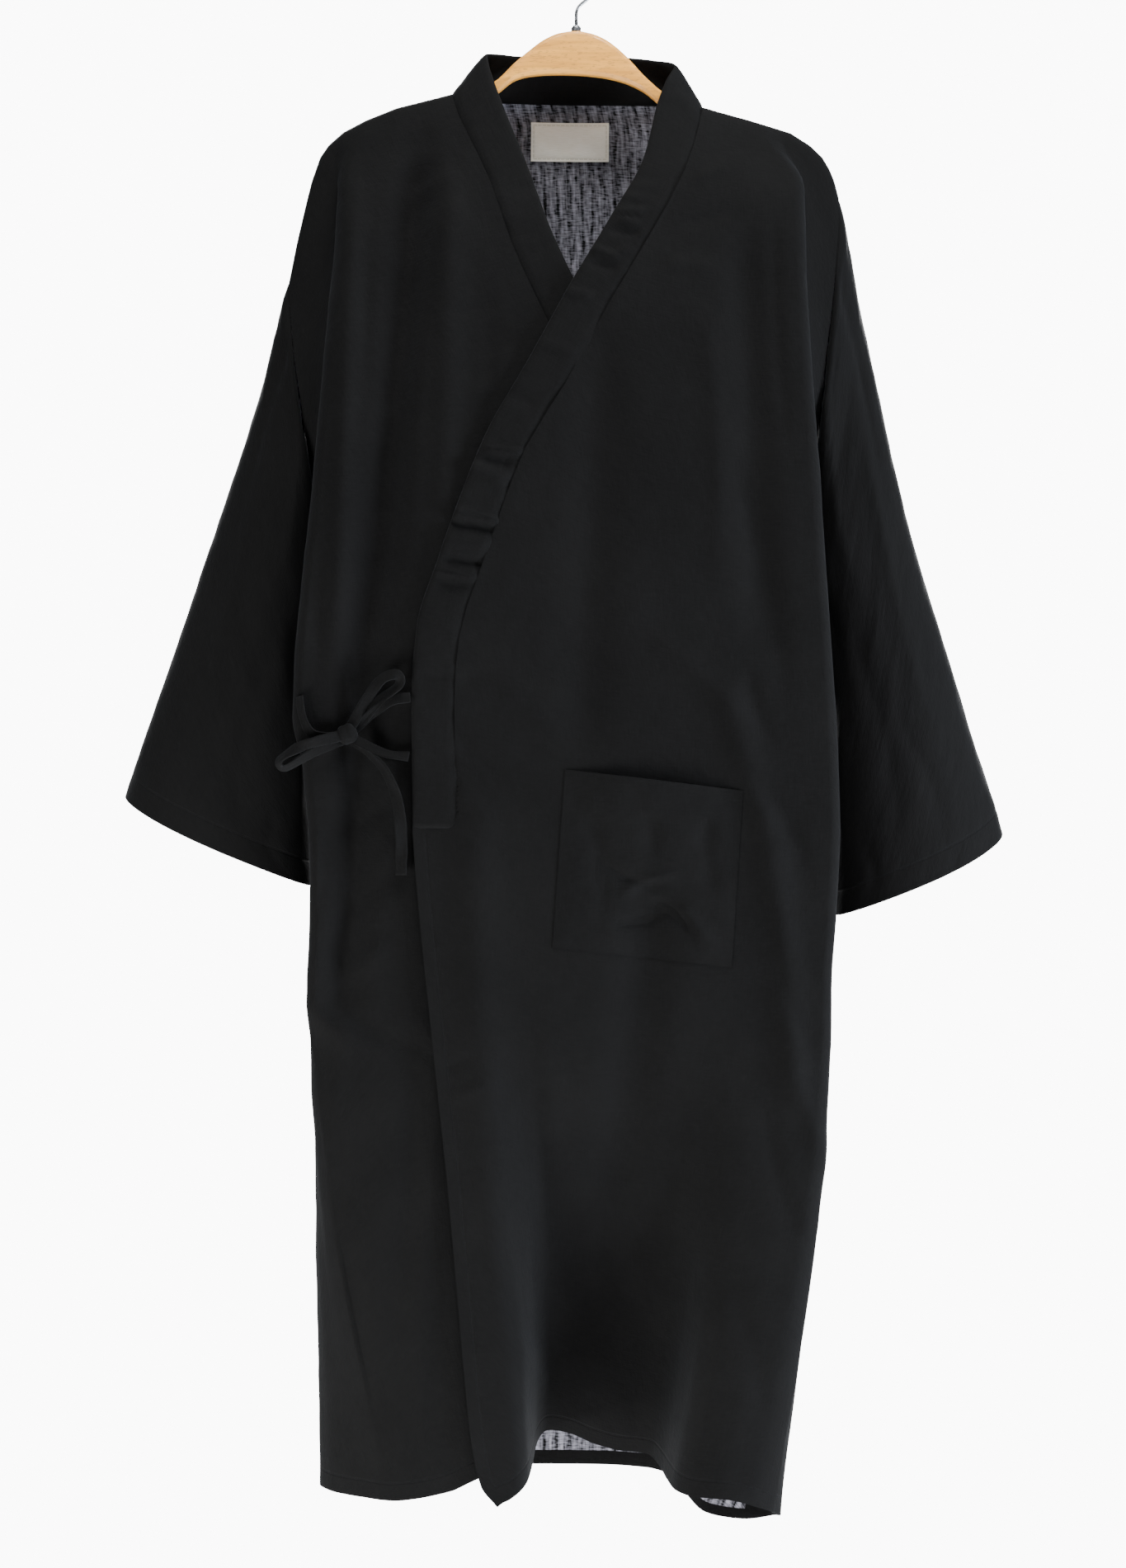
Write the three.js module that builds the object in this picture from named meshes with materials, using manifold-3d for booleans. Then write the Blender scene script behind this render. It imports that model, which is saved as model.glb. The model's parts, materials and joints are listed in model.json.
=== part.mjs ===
// Wrap robe (kimono) hanging on a wooden clothes hanger.
// Millimetres, +Z up. The origin is the inside top of the hook. The front faces -Y, and +X is the
// wearer's left. Heights in the tables are given as "down": millimetres below the origin.
import * as THREE from "three";
import Module from "manifold-3d";
import { mergeVertices } from "three/addons/utils/BufferGeometryUtils.js";

const wasm = await Module();
wasm.setup();
const { Manifold, Mesh } = wasm;

// Driving sizes
const CLOTH = 2.0; // wall of the body and sleeves
const BAND = 3.0; // wall of the folded collar band
const SEAM_GAP = 1.3; // clear space between two sewn pieces
const LAP = 7.0; // how far the over front lies in front of the under front
const ZONE_EDGE = 0.66; // share of a front panel's columns up to its folded side edge
const ZONE_BACK = 0.8; // share of the columns where the side turns back to the seam
const EDGE_ROUND = 9; // how wide the folded side edge is
const EDGE_DEEP = 12; // how deep the folded side edge is
const HEM_ZONE = 850; // where the deep hem folds begin
const HEM_POWER = 1.5; // how late the hem folds open out
const COLLAR_END = 712; // where the collar band stops on both fronts
const NECK_DEEP = 26; // how far back the neck seam goes
const NECK_HALF = 102; // half the width of the neck opening
const WIRE = 1.4; // radius of the hook wire
const HOOK_R = 20; // inside radius of the hook
const FULL_DEPTH = 34; // depth of the hung cloth at which its side folds have their full size
const FOLD_BEGIN = 90; // drop over which the front's folds deepen
const LAP_BEGIN = 70; // drop over which the over front comes out to its lap
const RIDGE_BLEND = 45; // drop over which a panel leaves the line of the shoulder
const RIDGE_REACH = 0.12; // share of the columns beside the inner edge that keep their own line
const UNDER_HEM_DOWN = 1238; // lowest part of the under front
const UNDER_BEGIN = 60; // drop over which the under front's low part takes its own shape

const lerp = (a, b, t) => a + (b - a) * t;
const clamp = (t, a = 0, b = 1) => Math.min(b, Math.max(a, t));
const smooth = (t) => {
  const c = clamp(t);
  return c * c * (3 - 2 * c);
};

// Reads one column of a table at a place between its rows, along a curve that doesn't overshoot.
function read(rows, by, place, column) {
  const n = rows.length;
  const forward = rows[0][by] < rows[n - 1][by];
  const p = forward ? place : -place;
  const x = rows.map((r) => (forward ? r[by] : -r[by]));
  const y = rows.map((r) => r[column]);
  if (p <= x[0]) return y[0];
  if (p >= x[n - 1]) return y[n - 1];
  let i = 0;
  while (p > x[i + 1]) i++;
  const slope = (k) => (y[k + 1] - y[k]) / (x[k + 1] - x[k]);
  const bend = (k) => {
    if (k === 0) return slope(0);
    if (k === n - 1) return slope(n - 2);
    const a = slope(k - 1),
      b = slope(k);
    return a * b <= 0 ? 0 : (2 * a * b) / (a + b);
  };
  const h = x[i + 1] - x[i],
    t = (p - x[i]) / h;
  const t2 = t * t,
    t3 = t2 * t;
  return (
    y[i] * (2 * t3 - 3 * t2 + 1) +
    bend(i) * h * (t3 - 2 * t2 + t) +
    y[i + 1] * (3 * t2 - 2 * t3) +
    bend(i + 1) * h * (t3 - t2)
  );
}

// How deep the hung cloth is, by the drop below the shoulder line.
const DEPTH = [
  { drop: 0, front: 0, back: 0 },
  { drop: 1.5, front: 4.2, back: 4.2 },
  { drop: 4, front: 6.8, back: 6.8 },
  { drop: 9, front: 9.4, back: 9.4 },
  { drop: 18, front: 12.5, back: 12 },
  { drop: 34, front: 17, back: 16 },
  { drop: 60, front: 24, back: 22 },
  { drop: 95, front: 32, back: 29 },
  { drop: 135, front: 39, back: 35 },
  { drop: 180, front: 45, back: 40 },
  { drop: 260, front: 52, back: 46 },
  { drop: 400, front: 58, back: 52 },
  { drop: 600, front: 63, back: 58 },
  { drop: 850, front: 69, back: 64 },
  { drop: 1150, front: 78, back: 74 },
];

// Shoulder line from the foot of the collar out to the top of the armhole seam.
const RIDGE = {
  left: [
    { x: 100, down: 116.7 },
    { x: 145, down: 128 },
    { x: 170, down: 138 },
    { x: 188, down: 147.5 },
    { x: 200, down: 158 },
    { x: 207, down: 168 },
    { x: 214, down: 188 },
    { x: 219, down: 208 },
    { x: 226, down: 238 },
    { x: 232, down: 268 },
  ],
  right: [
    { x: 104, down: 127.5 },
    { x: 143, down: 138.3 },
    { x: 175, down: 148.2 },
    { x: 191, down: 158.4 },
    { x: 201, down: 168 },
    { x: 207, down: 178 },
    { x: 211, down: 188 },
    { x: 214, down: 200 },
  ],
};

// Side of the body: edge = the fold seen from the front, seam = side or armhole seam with its
// depth, back = the rear corner.
const SIDE = {
  left: [
    { down: 150, edge: 190, seam: 232, deep: -14, back: 186 },
    { down: 246, edge: 194, seam: 232, deep: -20, back: 196 },
    { down: 313, edge: 200, seam: 229, deep: -24, back: 206 },
    { down: 380, edge: 206, seam: 220, deep: -20, back: 206 },
    { down: 441, edge: 211, seam: 212, deep: 8, back: 202 },
    { down: 499, edge: 217, seam: 203, deep: 10, back: 190 },
    { down: 578, edge: 224, seam: 198, deep: 10, back: 184 },
    { down: 624, edge: 226, seam: 196, deep: 10, back: 183 },
    { down: 664, edge: 218, seam: 194, deep: 10, back: 182 },
    { down: 758, edge: 212, seam: 194, deep: 8, back: 184 },
    { down: 841, edge: 214, seam: 202, deep: 5, back: 192 },
    { down: 930, edge: 218, seam: 207, deep: 3, back: 197 },
    { down: 1080, edge: 220, seam: 210, deep: 1, back: 201 },
    { down: 1237, edge: 212, seam: 206, deep: 0, back: 198 },
  ],
  right: [
    { down: 150, edge: 172, seam: 214, deep: -14, back: 180 },
    { down: 198, edge: 185, seam: 214, deep: -18, back: 186 },
    { down: 266, edge: 186, seam: 210, deep: -24, back: 190 },
    { down: 346, edge: 190, seam: 201, deep: -22, back: 188 },
    { down: 437, edge: 196, seam: 193, deep: 8, back: 184 },
    { down: 500, edge: 200, seam: 186, deep: 10, back: 174 },
    { down: 545, edge: 203, seam: 183, deep: 10, back: 170 },
    { down: 644, edge: 209, seam: 184, deep: 10, back: 172 },
    { down: 710, edge: 211, seam: 187, deep: 10, back: 175 },
    { down: 779, edge: 208, seam: 191, deep: 8, back: 181 },
    { down: 841, edge: 204, seam: 193, deep: 5, back: 185 },
    { down: 927, edge: 205, seam: 196, deep: 2, back: 189 },
    { down: 1040, edge: 207, seam: 200, deep: 0, back: 190 },
    { down: 1171, edge: 204, seam: 198, deep: 0, back: 188 },
    { down: 1257, edge: 190, seam: 184, deep: 0, back: 176 },
  ],
};
const UNDERARM = { left: 441, right: 437 };

// Collar band: each row is one section of the band, from the end on the over front round the neck
// to the end on the under front. Rows with no depth lie on the front's own surface.
const COLLAR = [
  { on: "over", seamX: -94, seamDown: COLLAR_END, edgeX: -129, edgeDown: COLLAR_END },
  { on: "over", seamX: -96, seamDown: 613, edgeX: -130, edgeDown: 611 },
  { on: "over", seamX: -92, seamDown: 559, edgeX: -126, edgeDown: 552 },
  { on: "over", seamX: -77, seamDown: 511, edgeX: -110, edgeDown: 500 },
  { on: "over", seamX: -58, seamDown: 456, edgeX: -90, edgeDown: 444 },
  { on: "over", seamX: -40, seamDown: 410, edgeX: -70, edgeDown: 395 },
  { on: "over", seamX: -7, seamDown: 356, edgeX: -38, edgeDown: 339 },
  { on: "over", seamX: 28, seamDown: 291, edgeX: -2, edgeDown: 273 },
  { on: "over", seamX: 57, seamDown: 242, edgeX: 28, edgeDown: 222 },
  { on: "over", seamX: 88, seamDown: 184, edgeX: 55, edgeDown: 172 },
  { on: "over", seamX: 99, seamDown: 150, edgeX: 67, edgeDown: 125, edgeY: -13 },
  { on: "over", seamX: 102, seamDown: 136, edgeX: 74, edgeDown: 107, edgeY: -9 },
  { on: "neck", seamX: 104, seamDown: 127.5, edgeX: 82, edgeDown: 92, seamY: 0, edgeY: 2 },
  { on: "neck", seamX: 92, seamDown: 122, edgeX: 67, edgeDown: 87.5, seamY: 12, edgeY: 9 },
  { on: "neck", seamX: 60, seamDown: 118, edgeX: 44, edgeDown: 84.3, seamY: 21, edgeY: 14 },
  { on: "neck", seamX: 0, seamDown: 116.3, edgeX: 0, edgeDown: 82, seamY: 26, edgeY: 16 },
  { on: "neck", seamX: -58, seamDown: 116, edgeX: -44, edgeDown: 83, seamY: 21, edgeY: 14 },
  { on: "neck", seamX: -88, seamDown: 116, edgeX: -62, edgeDown: 82, seamY: 12, edgeY: 10 },
  { on: "neck", seamX: -100, seamDown: 116.7, edgeX: -72, edgeDown: 83, seamY: 0, edgeY: 2 },
  { on: "under", seamX: -98, seamDown: 124, edgeX: -70, edgeDown: 94, edgeY: -7 },
  { on: "under", seamX: -94, seamDown: 136, edgeX: -66, edgeDown: 107, edgeY: -11 },
  { on: "under", seamX: -86, seamDown: 153, edgeX: -58, edgeDown: 129, edgeY: -16 },
  { on: "under", seamX: -68, seamDown: 192, edgeX: -38, edgeDown: 179 },
  { on: "under", seamX: -52, seamDown: 240, edgeX: -21, edgeDown: 227 },
  { on: "under", seamX: -32, seamDown: 285, edgeX: -1, edgeDown: 272 },
  { on: "under", seamX: -5, seamDown: 341, edgeX: 25, edgeDown: 328 },
  { on: "under", seamX: 24, seamDown: 407, edgeX: 54, edgeDown: 394 },
  { on: "under", seamX: 49, seamDown: 473, edgeX: 81, edgeDown: 460 },
  { on: "under", seamX: 67, seamDown: 536, edgeX: 100, edgeDown: 526 },
  { on: "under", seamX: 78, seamDown: 584, edgeX: 112, edgeDown: 578 },
  { on: "under", seamX: 82, seamDown: 619, edgeX: 116, edgeDown: 618 },
  { on: "under", seamX: 83, seamDown: COLLAR_END, edgeX: 117, edgeDown: COLLAR_END },
];

// Free front edge of each front panel, below the end of the collar band.
const OVER_FREE = [
  { down: COLLAR_END + 2.6, x: -129 },
  { down: 743, x: -127 },
  { down: 808, x: -121 },
  { down: 873, x: -114 },
  { down: 938, x: -107 },
  { down: 1003, x: -100 },
  { down: 1068, x: -94 },
  { down: 1134, x: -88 },
  { down: 1190, x: -82 },
  { down: 1227, x: -74 },
  { down: 1243, x: -61 },
];
const UNDER_FREE = [
  { down: COLLAR_END + 2.6, x: 117 },
  { down: HEM_ZONE, x: 100 },
];

// Plan of each hem, along the panel from its front edge (share 0) to its side seam (share 1).
const OVER_HEM = [
  { share: 0, x: -61, y: -105, down: 1243 },
  { share: 0.04, x: -47, y: -103, down: 1234 },
  { share: 0.08, x: -38, y: -90, down: 1226 },
  { share: 0.11, x: -34, y: -52, down: 1219 },
  { share: 0.14, x: -31, y: -8, down: 1211 },
  { share: 0.17, x: -23, y: 24, down: 1206 },
  { share: 0.23, x: -5, y: 35, down: 1210 },
  { share: 0.3, x: 16, y: 37, down: 1219 },
  { share: 0.37, x: 42, y: 36, down: 1225 },
  { share: 0.42, x: 60, y: 27, down: 1226 },
  { share: 0.45, x: 69, y: 5, down: 1232 },
  { share: 0.48, x: 74, y: -28, down: 1236 },
  { share: 0.51, x: 79, y: -58, down: 1238 },
  { share: 0.55, x: 92, y: -76, down: 1240 },
  { share: 0.61, x: 117, y: -84, down: 1241 },
  { share: 0.68, x: 138, y: -81, down: 1246 },
  { share: 0.8, x: 158, y: -66, down: 1255 },
  { share: 0.9, x: 164, y: -52, down: 1260 },
  { share: 1, x: 162, y: -40, down: 1262 },
];
const UNDER_HEM = [
  { share: 0, x: -60, y: -88, down: 1222 },
  { share: 0.12, x: -86, y: -86, down: 1232 },
  { share: 0.25, x: -106, y: -87, down: 1236 },
  { share: 0.38, x: -125, y: -89, down: 1239 },
  { share: 0.5, x: -144, y: -88, down: 1241 },
  { share: 0.64, x: -172, y: -76, down: 1240 },
  { share: 0.78, x: -196, y: -56, down: 1239 },
  { share: 0.9, x: -205, y: -34, down: 1238 },
  { share: 1, x: -201, y: -8, down: 1238 },
];
const BACK_HEM = [
  { share: -1, x: -201, y: -8, down: 1238 },
  { share: -0.9, x: -204, y: 20, down: 1239 },
  { share: -0.78, x: -190, y: 50, down: 1240 },
  { share: -0.5, x: -125, y: 70, down: 1241 },
  { share: -0.2, x: -50, y: 73, down: 1242 },
  { share: 0.1, x: 15, y: 76, down: 1243 },
  { share: 0.35, x: 60, y: 72, down: 1245 },
  { share: 0.5, x: 84, y: 54, down: 1250 },
  { share: 0.62, x: 94, y: 16, down: 1258 },
  { share: 0.74, x: 108, y: -14, down: 1266 },
  { share: 0.86, x: 136, y: -26, down: 1268 },
  { share: 0.95, x: 157, y: -28, down: 1265 },
  { share: 1, x: 162, y: -40, down: 1262 },
];

// Largest folds of the hung cloth: a soft trough (deep above 0) or ridge along a line.
const FRONT_FOLDS = [
  { x1: -126, down1: 170, x2: -147, down2: 395, half: 15, deep: 12 },
  { x1: -147, down1: 395, x2: -168, down2: 600, half: 16, deep: 15 },
  { x1: -168, down1: 600, x2: -186, down2: 860, half: 15, deep: 13 },
  { x1: -100, down1: 190, x2: -104, down2: 480, half: 14, deep: -5 },
  { x1: -178, down1: 210, x2: -190, down2: 560, half: 11, deep: -5 },
  { x1: 119, down1: 600, x2: 152, down2: 709, half: 13, deep: -6 },
  { x1: 152, down1: 709, x2: 178, down2: 925, half: 13, deep: -7 },
  { x1: 136, down1: 240, x2: 148, down2: 560, half: 16, deep: 6 },
  { x1: 60, down1: 760, x2: 36, down2: 1010, half: 22, deep: 8 },
  { x1: -80, down1: 700, x2: -70, down2: 1100, half: 18, deep: -6 },
  { x1: 20, down1: 330, x2: 6, down2: 640, half: 20, deep: 5 },
];
const BACK_FOLDS = [
  { x1: -118, down1: 190, x2: -128, down2: 1180, half: 18, deep: -8 },
  { x1: 108, down1: 200, x2: 120, down2: 960, half: 16, deep: -9 },
  { x1: -40, down1: 330, x2: -56, down2: 1220, half: 20, deep: -6 },
  { x1: 40, down1: 420, x2: 30, down2: 1220, half: 18, deep: 7 },
  { x1: 150, down1: 620, x2: 150, down2: 1060, half: 14, deep: -5 },
];

function folds(table, x, down) {
  let sum = 0;
  for (const f of table) {
    const t = (down - f.down1) / (f.down2 - f.down1);
    const ends = smooth(t * 4 + 0.5) * smooth((1 - t) * 4 + 0.5);
    const off = (x - lerp(f.x1, f.x2, clamp(t))) / f.half;
    sum += f.deep * ends * Math.exp(-off * off);
  }
  return sum;
}

// The share of a ridge's length at each share of the panel's columns.
const RIDGE_SHARE = [
  { u: 0, along: 0 },
  { u: ZONE_EDGE, along: 0.34 },
  { u: ZONE_BACK, along: 0.47 },
  { u: 1, along: 1 },
];

function ridgePoint(side, u) {
  const rows = RIDGE[side];
  const steps = rows.slice(1).map((r, i) => Math.hypot(r.x - rows[i].x, r.down - rows[i].down));
  const whole = steps.reduce((a, b) => a + b, 0);
  let rest = whole * read(RIDGE_SHARE, "u", u, "along");
  let i = 0;
  while (i < steps.length - 1 && rest > steps[i]) rest -= steps[i++];
  const t = Math.min(1, rest / steps[i]);
  return { x: lerp(rows[i].x, rows[i + 1].x, t), down: lerp(rows[i].down, rows[i + 1].down, t) };
}

const sign = (side) => (side === "left" ? -1 : 1);

// Seam lines of the collar, which are the inner edges of the two fronts above the collar's end.
const placed = COLLAR.map((r, place) => ({ ...r, place }));
const halfSteps = (from, to) =>
  Array.from({ length: 2 * (to - from) + 1 }, (_, i) => {
    const place = from + i / 2;
    return { x: read(placed, "place", place, "seamX"), down: read(placed, "place", place, "seamDown") };
  });
const footOver = COLLAR.findIndex((r) => r.on === "neck");
const footUnder = COLLAR.length - 1 - [...COLLAR].reverse().findIndex((r) => r.on === "neck");
const SEAM = {
  over: halfSteps(0, footOver).reverse(),
  under: halfSteps(footUnder, COLLAR.length - 1),
};
function innerEdge(kind, down) {
  const free = kind === "over" ? OVER_FREE : UNDER_FREE;
  const line = SEAM[kind],
    end = line.at(-1);
  if (down >= free[0].down) return read(free, "down", down, "x");
  if (down >= COLLAR_END + 1) {
    const t = (down - COLLAR_END - 1) / (free[0].down - COLLAR_END - 1);
    return lerp(end.x, free[0].x, t);
  }
  let i = 0;
  while (i < line.length - 2 && line[i + 1].down < down) i++;
  const t = clamp((down - line[i].down) / (line[i + 1].down - line[i].down));
  return lerp(line[i].x, line[i + 1].x, t);
}

// Point of a front panel's outer face above the hem folds. u runs from the inner edge to the seam.
function frontUpper(kind, u, down) {
  const side = kind === "over" ? "right" : "left";
  const s = sign(side);
  const lap = kind === "over" ? LAP : 0;
  const ridge = ridgePoint(side, u);
  const drop = Math.max(0, down - ridge.down);
  const row = (column) => read(SIDE[side], "down", down, column);
  const mainDrop = Math.max(0.01, down - ridgePoint(side, ZONE_EDGE).down);
  const lift = (d) => lap * smooth(d / LAP_BEGIN);
  const edge = row("edge");
  let x, y;
  if (u <= ZONE_EDGE) {
    const from = innerEdge(kind, down) + (down < COLLAR_END + 2 ? s * SEAM_GAP : 0);
    x = lerp(from, s * (edge - EDGE_ROUND), u / ZONE_EDGE);
    y = -read(DEPTH, "drop", drop, "front") - lift(drop);
    y += folds(FRONT_FOLDS, x, down) * smooth(drop / FOLD_BEGIN);
  } else {
    const full = -read(DEPTH, "drop", mainDrop, "front") - lift(mainDrop);
    const round = EDGE_DEEP * Math.min(1, -full / FULL_DEPTH);
    const part = clamp(read(DEPTH, "drop", drop, "front") / read(DEPTH, "drop", mainDrop, "front"));
    const seamX = s * row("seam");
    if (u <= ZONE_BACK) {
      const turn = ((u - ZONE_EDGE) / (ZONE_BACK - ZONE_EDGE)) * (Math.PI / 2);
      x = s * (edge - EDGE_ROUND + EDGE_ROUND * Math.sin(turn));
      y = full + round * (1 - Math.cos(turn));
      y += folds(FRONT_FOLDS, x, down) * smooth(drop / FOLD_BEGIN);
    } else {
      const q = (u - ZONE_BACK) / (1 - ZONE_BACK);
      const corner = full + round + folds(FRONT_FOLDS, s * edge, down) * smooth(mainDrop / FOLD_BEGIN);
      const deep = row("deep") * Math.min(1, -full / FULL_DEPTH);
      const midX = s * (edge - 7),
        midY = Math.min(deep - 3, lerp(corner, deep, 0.6));
      x = (1 - q) ** 2 * s * edge + 2 * q * (1 - q) * midX + q * q * seamX;
      y = (1 - q) ** 2 * corner + 2 * q * (1 - q) * midY + q * q * deep;
    }
    y *= part;
  }
  const open = smooth(drop / RIDGE_BLEND);
  if (u > 0) x = lerp(lerp(x, s * ridge.x, smooth(u / RIDGE_REACH)), x, open);
  return new THREE.Vector3(x, y, -down);
}

const hemShare = (down, hem) => clamp((down - HEM_ZONE) / (hem - HEM_ZONE)) ** HEM_POWER;

function overPoint(u, down) {
  const upper = frontUpper("over", u, down);
  const hem = read(OVER_HEM, "share", u, "down");
  const k = hemShare(down, hem);
  const x = u === 0 ? upper.x : lerp(upper.x, read(OVER_HEM, "share", u, "x"), k);
  return new THREE.Vector3(x, lerp(upper.y, read(OVER_HEM, "share", u, "y"), k), -down);
}

// Where the over front lies, moved in behind it by the lap.
function behindOver(u, down) {
  const e = 0.004;
  const a = overPoint(Math.max(0.002, u - e), down),
    b = overPoint(u + e, down);
  const p = u <= 0 ? overPoint(0, down) : overPoint(u, down);
  const along = b.sub(a).normalize();
  return new THREE.Vector3(p.x - along.y * LAP, p.y + along.x * LAP, -down);
}

// The share of the under front's columns that the over front hides below the waist.
const HIDDEN = 0.6;
const HIDDEN_REACH = { top: 0.456, hem: 0.4 };
const UNDER_HIDDEN_HEM = [
  { share: 0, down: 1180 },
  { share: 0.35, down: 1180 },
  { share: 0.52, down: 1194 },
  { share: HIDDEN, down: 1222 },
];

function underPoint(u, down) {
  const upper = frontUpper("under", u, down);
  if (down <= HEM_ZONE) return upper;
  const t = clamp((down - HEM_ZONE) / (UNDER_HEM_DOWN - HEM_ZONE));
  if (u < HIDDEN) {
    const reach = lerp(HIDDEN_REACH.top, HIDDEN_REACH.hem, t);
    const p = behindOver((1 - u / HIDDEN) * reach, down);
    return upper.lerp(p, smooth((down - HEM_ZONE) / UNDER_BEGIN));
  }
  const share = (u - HIDDEN) / (1 - HIDDEN);
  const k = hemShare(down, UNDER_HEM_DOWN);
  const at = (f, top) =>
    new THREE.Vector3(
      lerp(top.x, read(UNDER_HEM, "share", f, "x"), k),
      lerp(top.y, read(UNDER_HEM, "share", f, "y"), k),
      -down,
    );
  const p = at(share, upper);
  const start = at(0, frontUpper("under", HIDDEN, down));
  const anchor = behindOver(0, down).sub(start);
  return p.addScaledVector(anchor, smooth((down - HEM_ZONE) / UNDER_BEGIN) * (1 - smooth(share * 1.6)));
}

const underHemDown = (u) =>
  u < HIDDEN
    ? read(UNDER_HIDDEN_HEM, "share", u, "down")
    : read(UNDER_HEM, "share", (u - HIDDEN) / (1 - HIDDEN), "down");

// Back panel: share runs from the left seam (-1) to the right seam (1), with the neck at 0.
const NECK_SHARE = 0.4; // half the neck's share of the back
const NECK_DOWN = 116.3; // height of the neck seam at the middle of the back
const BACK_SIDE = 0.74; // share of the back where its rear corner begins
const BACK_CORNER = 0.86; // and where it ends
const BACK_ROUND = 14; // radius of the rear corner
const BACK_FOLD_BEGIN = 120; // drop over which the back's folds deepen
const NECK_FADE = 110; // drop over which the neck's depth fades
const ARMHOLE = { back: 26, close: 60 }; // depth of the armhole on the back, and how it closes
function backRidge(share) {
  const side = share < 0 ? "left" : "right";
  const a = Math.abs(share);
  if (a >= NECK_SHARE) {
    const u = (a - NECK_SHARE) / (1 - NECK_SHARE);
    const r = ridgePoint(side, u);
    return { x: sign(side) * r.x, down: r.down + (a > NECK_SHARE ? 0 : SEAM_GAP) };
  }
  const foot = RIDGE[side][0];
  const x = (sign(side) * foot.x * a) / NECK_SHARE;
  return { x, down: lerp(NECK_DOWN, foot.down, (a / NECK_SHARE) ** 2) + SEAM_GAP };
}

function backUpper(share, down) {
  const side = share < 0 ? "left" : "right";
  const s = sign(side),
    a = Math.abs(share);
  const ridge = backRidge(share);
  const drop = Math.max(0, down - ridge.down);
  const mainDrop = Math.max(0.01, down - backRidge(s * BACK_SIDE).down);
  const row = (column) => read(SIDE[side], "down", down, column);
  const corner = row("back");
  let x, y;
  if (a <= BACK_SIDE) {
    x = (s * (corner - BACK_ROUND) * a) / BACK_SIDE;
    const neck = NECK_DEEP * Math.sqrt(Math.max(0, 1 - (ridge.x / NECK_HALF) ** 2));
    y = read(DEPTH, "drop", drop, "back") + neck * Math.exp(-drop / NECK_FADE);
    y -= folds(BACK_FOLDS, x, down) * smooth(drop / BACK_FOLD_BEGIN);
  } else {
    const full = read(DEPTH, "drop", mainDrop, "back");
    const round = BACK_ROUND * Math.min(1, full / FULL_DEPTH);
    const part = clamp(read(DEPTH, "drop", drop, "back") / read(DEPTH, "drop", mainDrop, "back"));
    if (a <= BACK_CORNER) {
      const q = (a - BACK_SIDE) / (BACK_CORNER - BACK_SIDE);
      const turn = q * (Math.PI / 2);
      x = s * (corner - BACK_ROUND + BACK_ROUND * Math.sin(turn));
      y = full - round * (1 - Math.cos(turn));
      y -= folds(BACK_FOLDS, x, down) * smooth(mainDrop / BACK_FOLD_BEGIN) * (1 - q);
    } else {
      const q = (a - BACK_CORNER) / (1 - BACK_CORNER);
      const deep = backSeamDeep(side, down) * Math.min(1, full / FULL_DEPTH);
      x = s * lerp(corner, row("seam"), q);
      y = lerp(full - round, deep, q);
    }
    y *= part;
  }
  x = lerp(ridge.x, x, smooth(drop / RIDGE_BLEND));
  return new THREE.Vector3(x, y, -down);
}

// Depth of the armhole seam on the back, which closes to the side seam at the underarm.
function backSeamDeep(side, down) {
  const t = clamp((UNDERARM[side] - down) / ARMHOLE.close);
  return lerp(read(SIDE[side], "down", down, "deep"), ARMHOLE.back, smooth(t));
}

function backPoint(share, down) {
  const upper = backUpper(share, down);
  const k = hemShare(down, read(BACK_HEM, "share", share, "down"));
  return new THREE.Vector3(
    lerp(upper.x, read(BACK_HEM, "share", share, "x"), k),
    lerp(upper.y, read(BACK_HEM, "share", share, "y"), k),
    -down,
  );
}

// Steps of the rows below the shoulder line in mm, then even steps down to the hem.
const FIRST_DROPS = [0, 1.5, 4, 9, 18, 34, 58, 86, 118, 152];
const PANEL_LENGTH = 1115; // length of a body panel from the shoulder line to the hem
function rowShares(length, count, step = null) {
  const shares = FIRST_DROPS.map((d) => d / length);
  const start = shares.at(-1);
  for (let i = 1; i <= count; i++) shares.push(lerp(start, 1, i / count));
  if (!step) return shares;
  const middle = (step[0] + step[1]) / 2;
  const near = Math.min(...shares.map((v) => Math.abs(v - middle)));
  return [...shares.filter((v) => Math.abs(v - middle) > near), ...step].sort((p, q) => p - q);
}
const evenly = (from, to, count) => Array.from({ length: count + 1 }, (_, i) => lerp(from, to, i / count));

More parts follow.
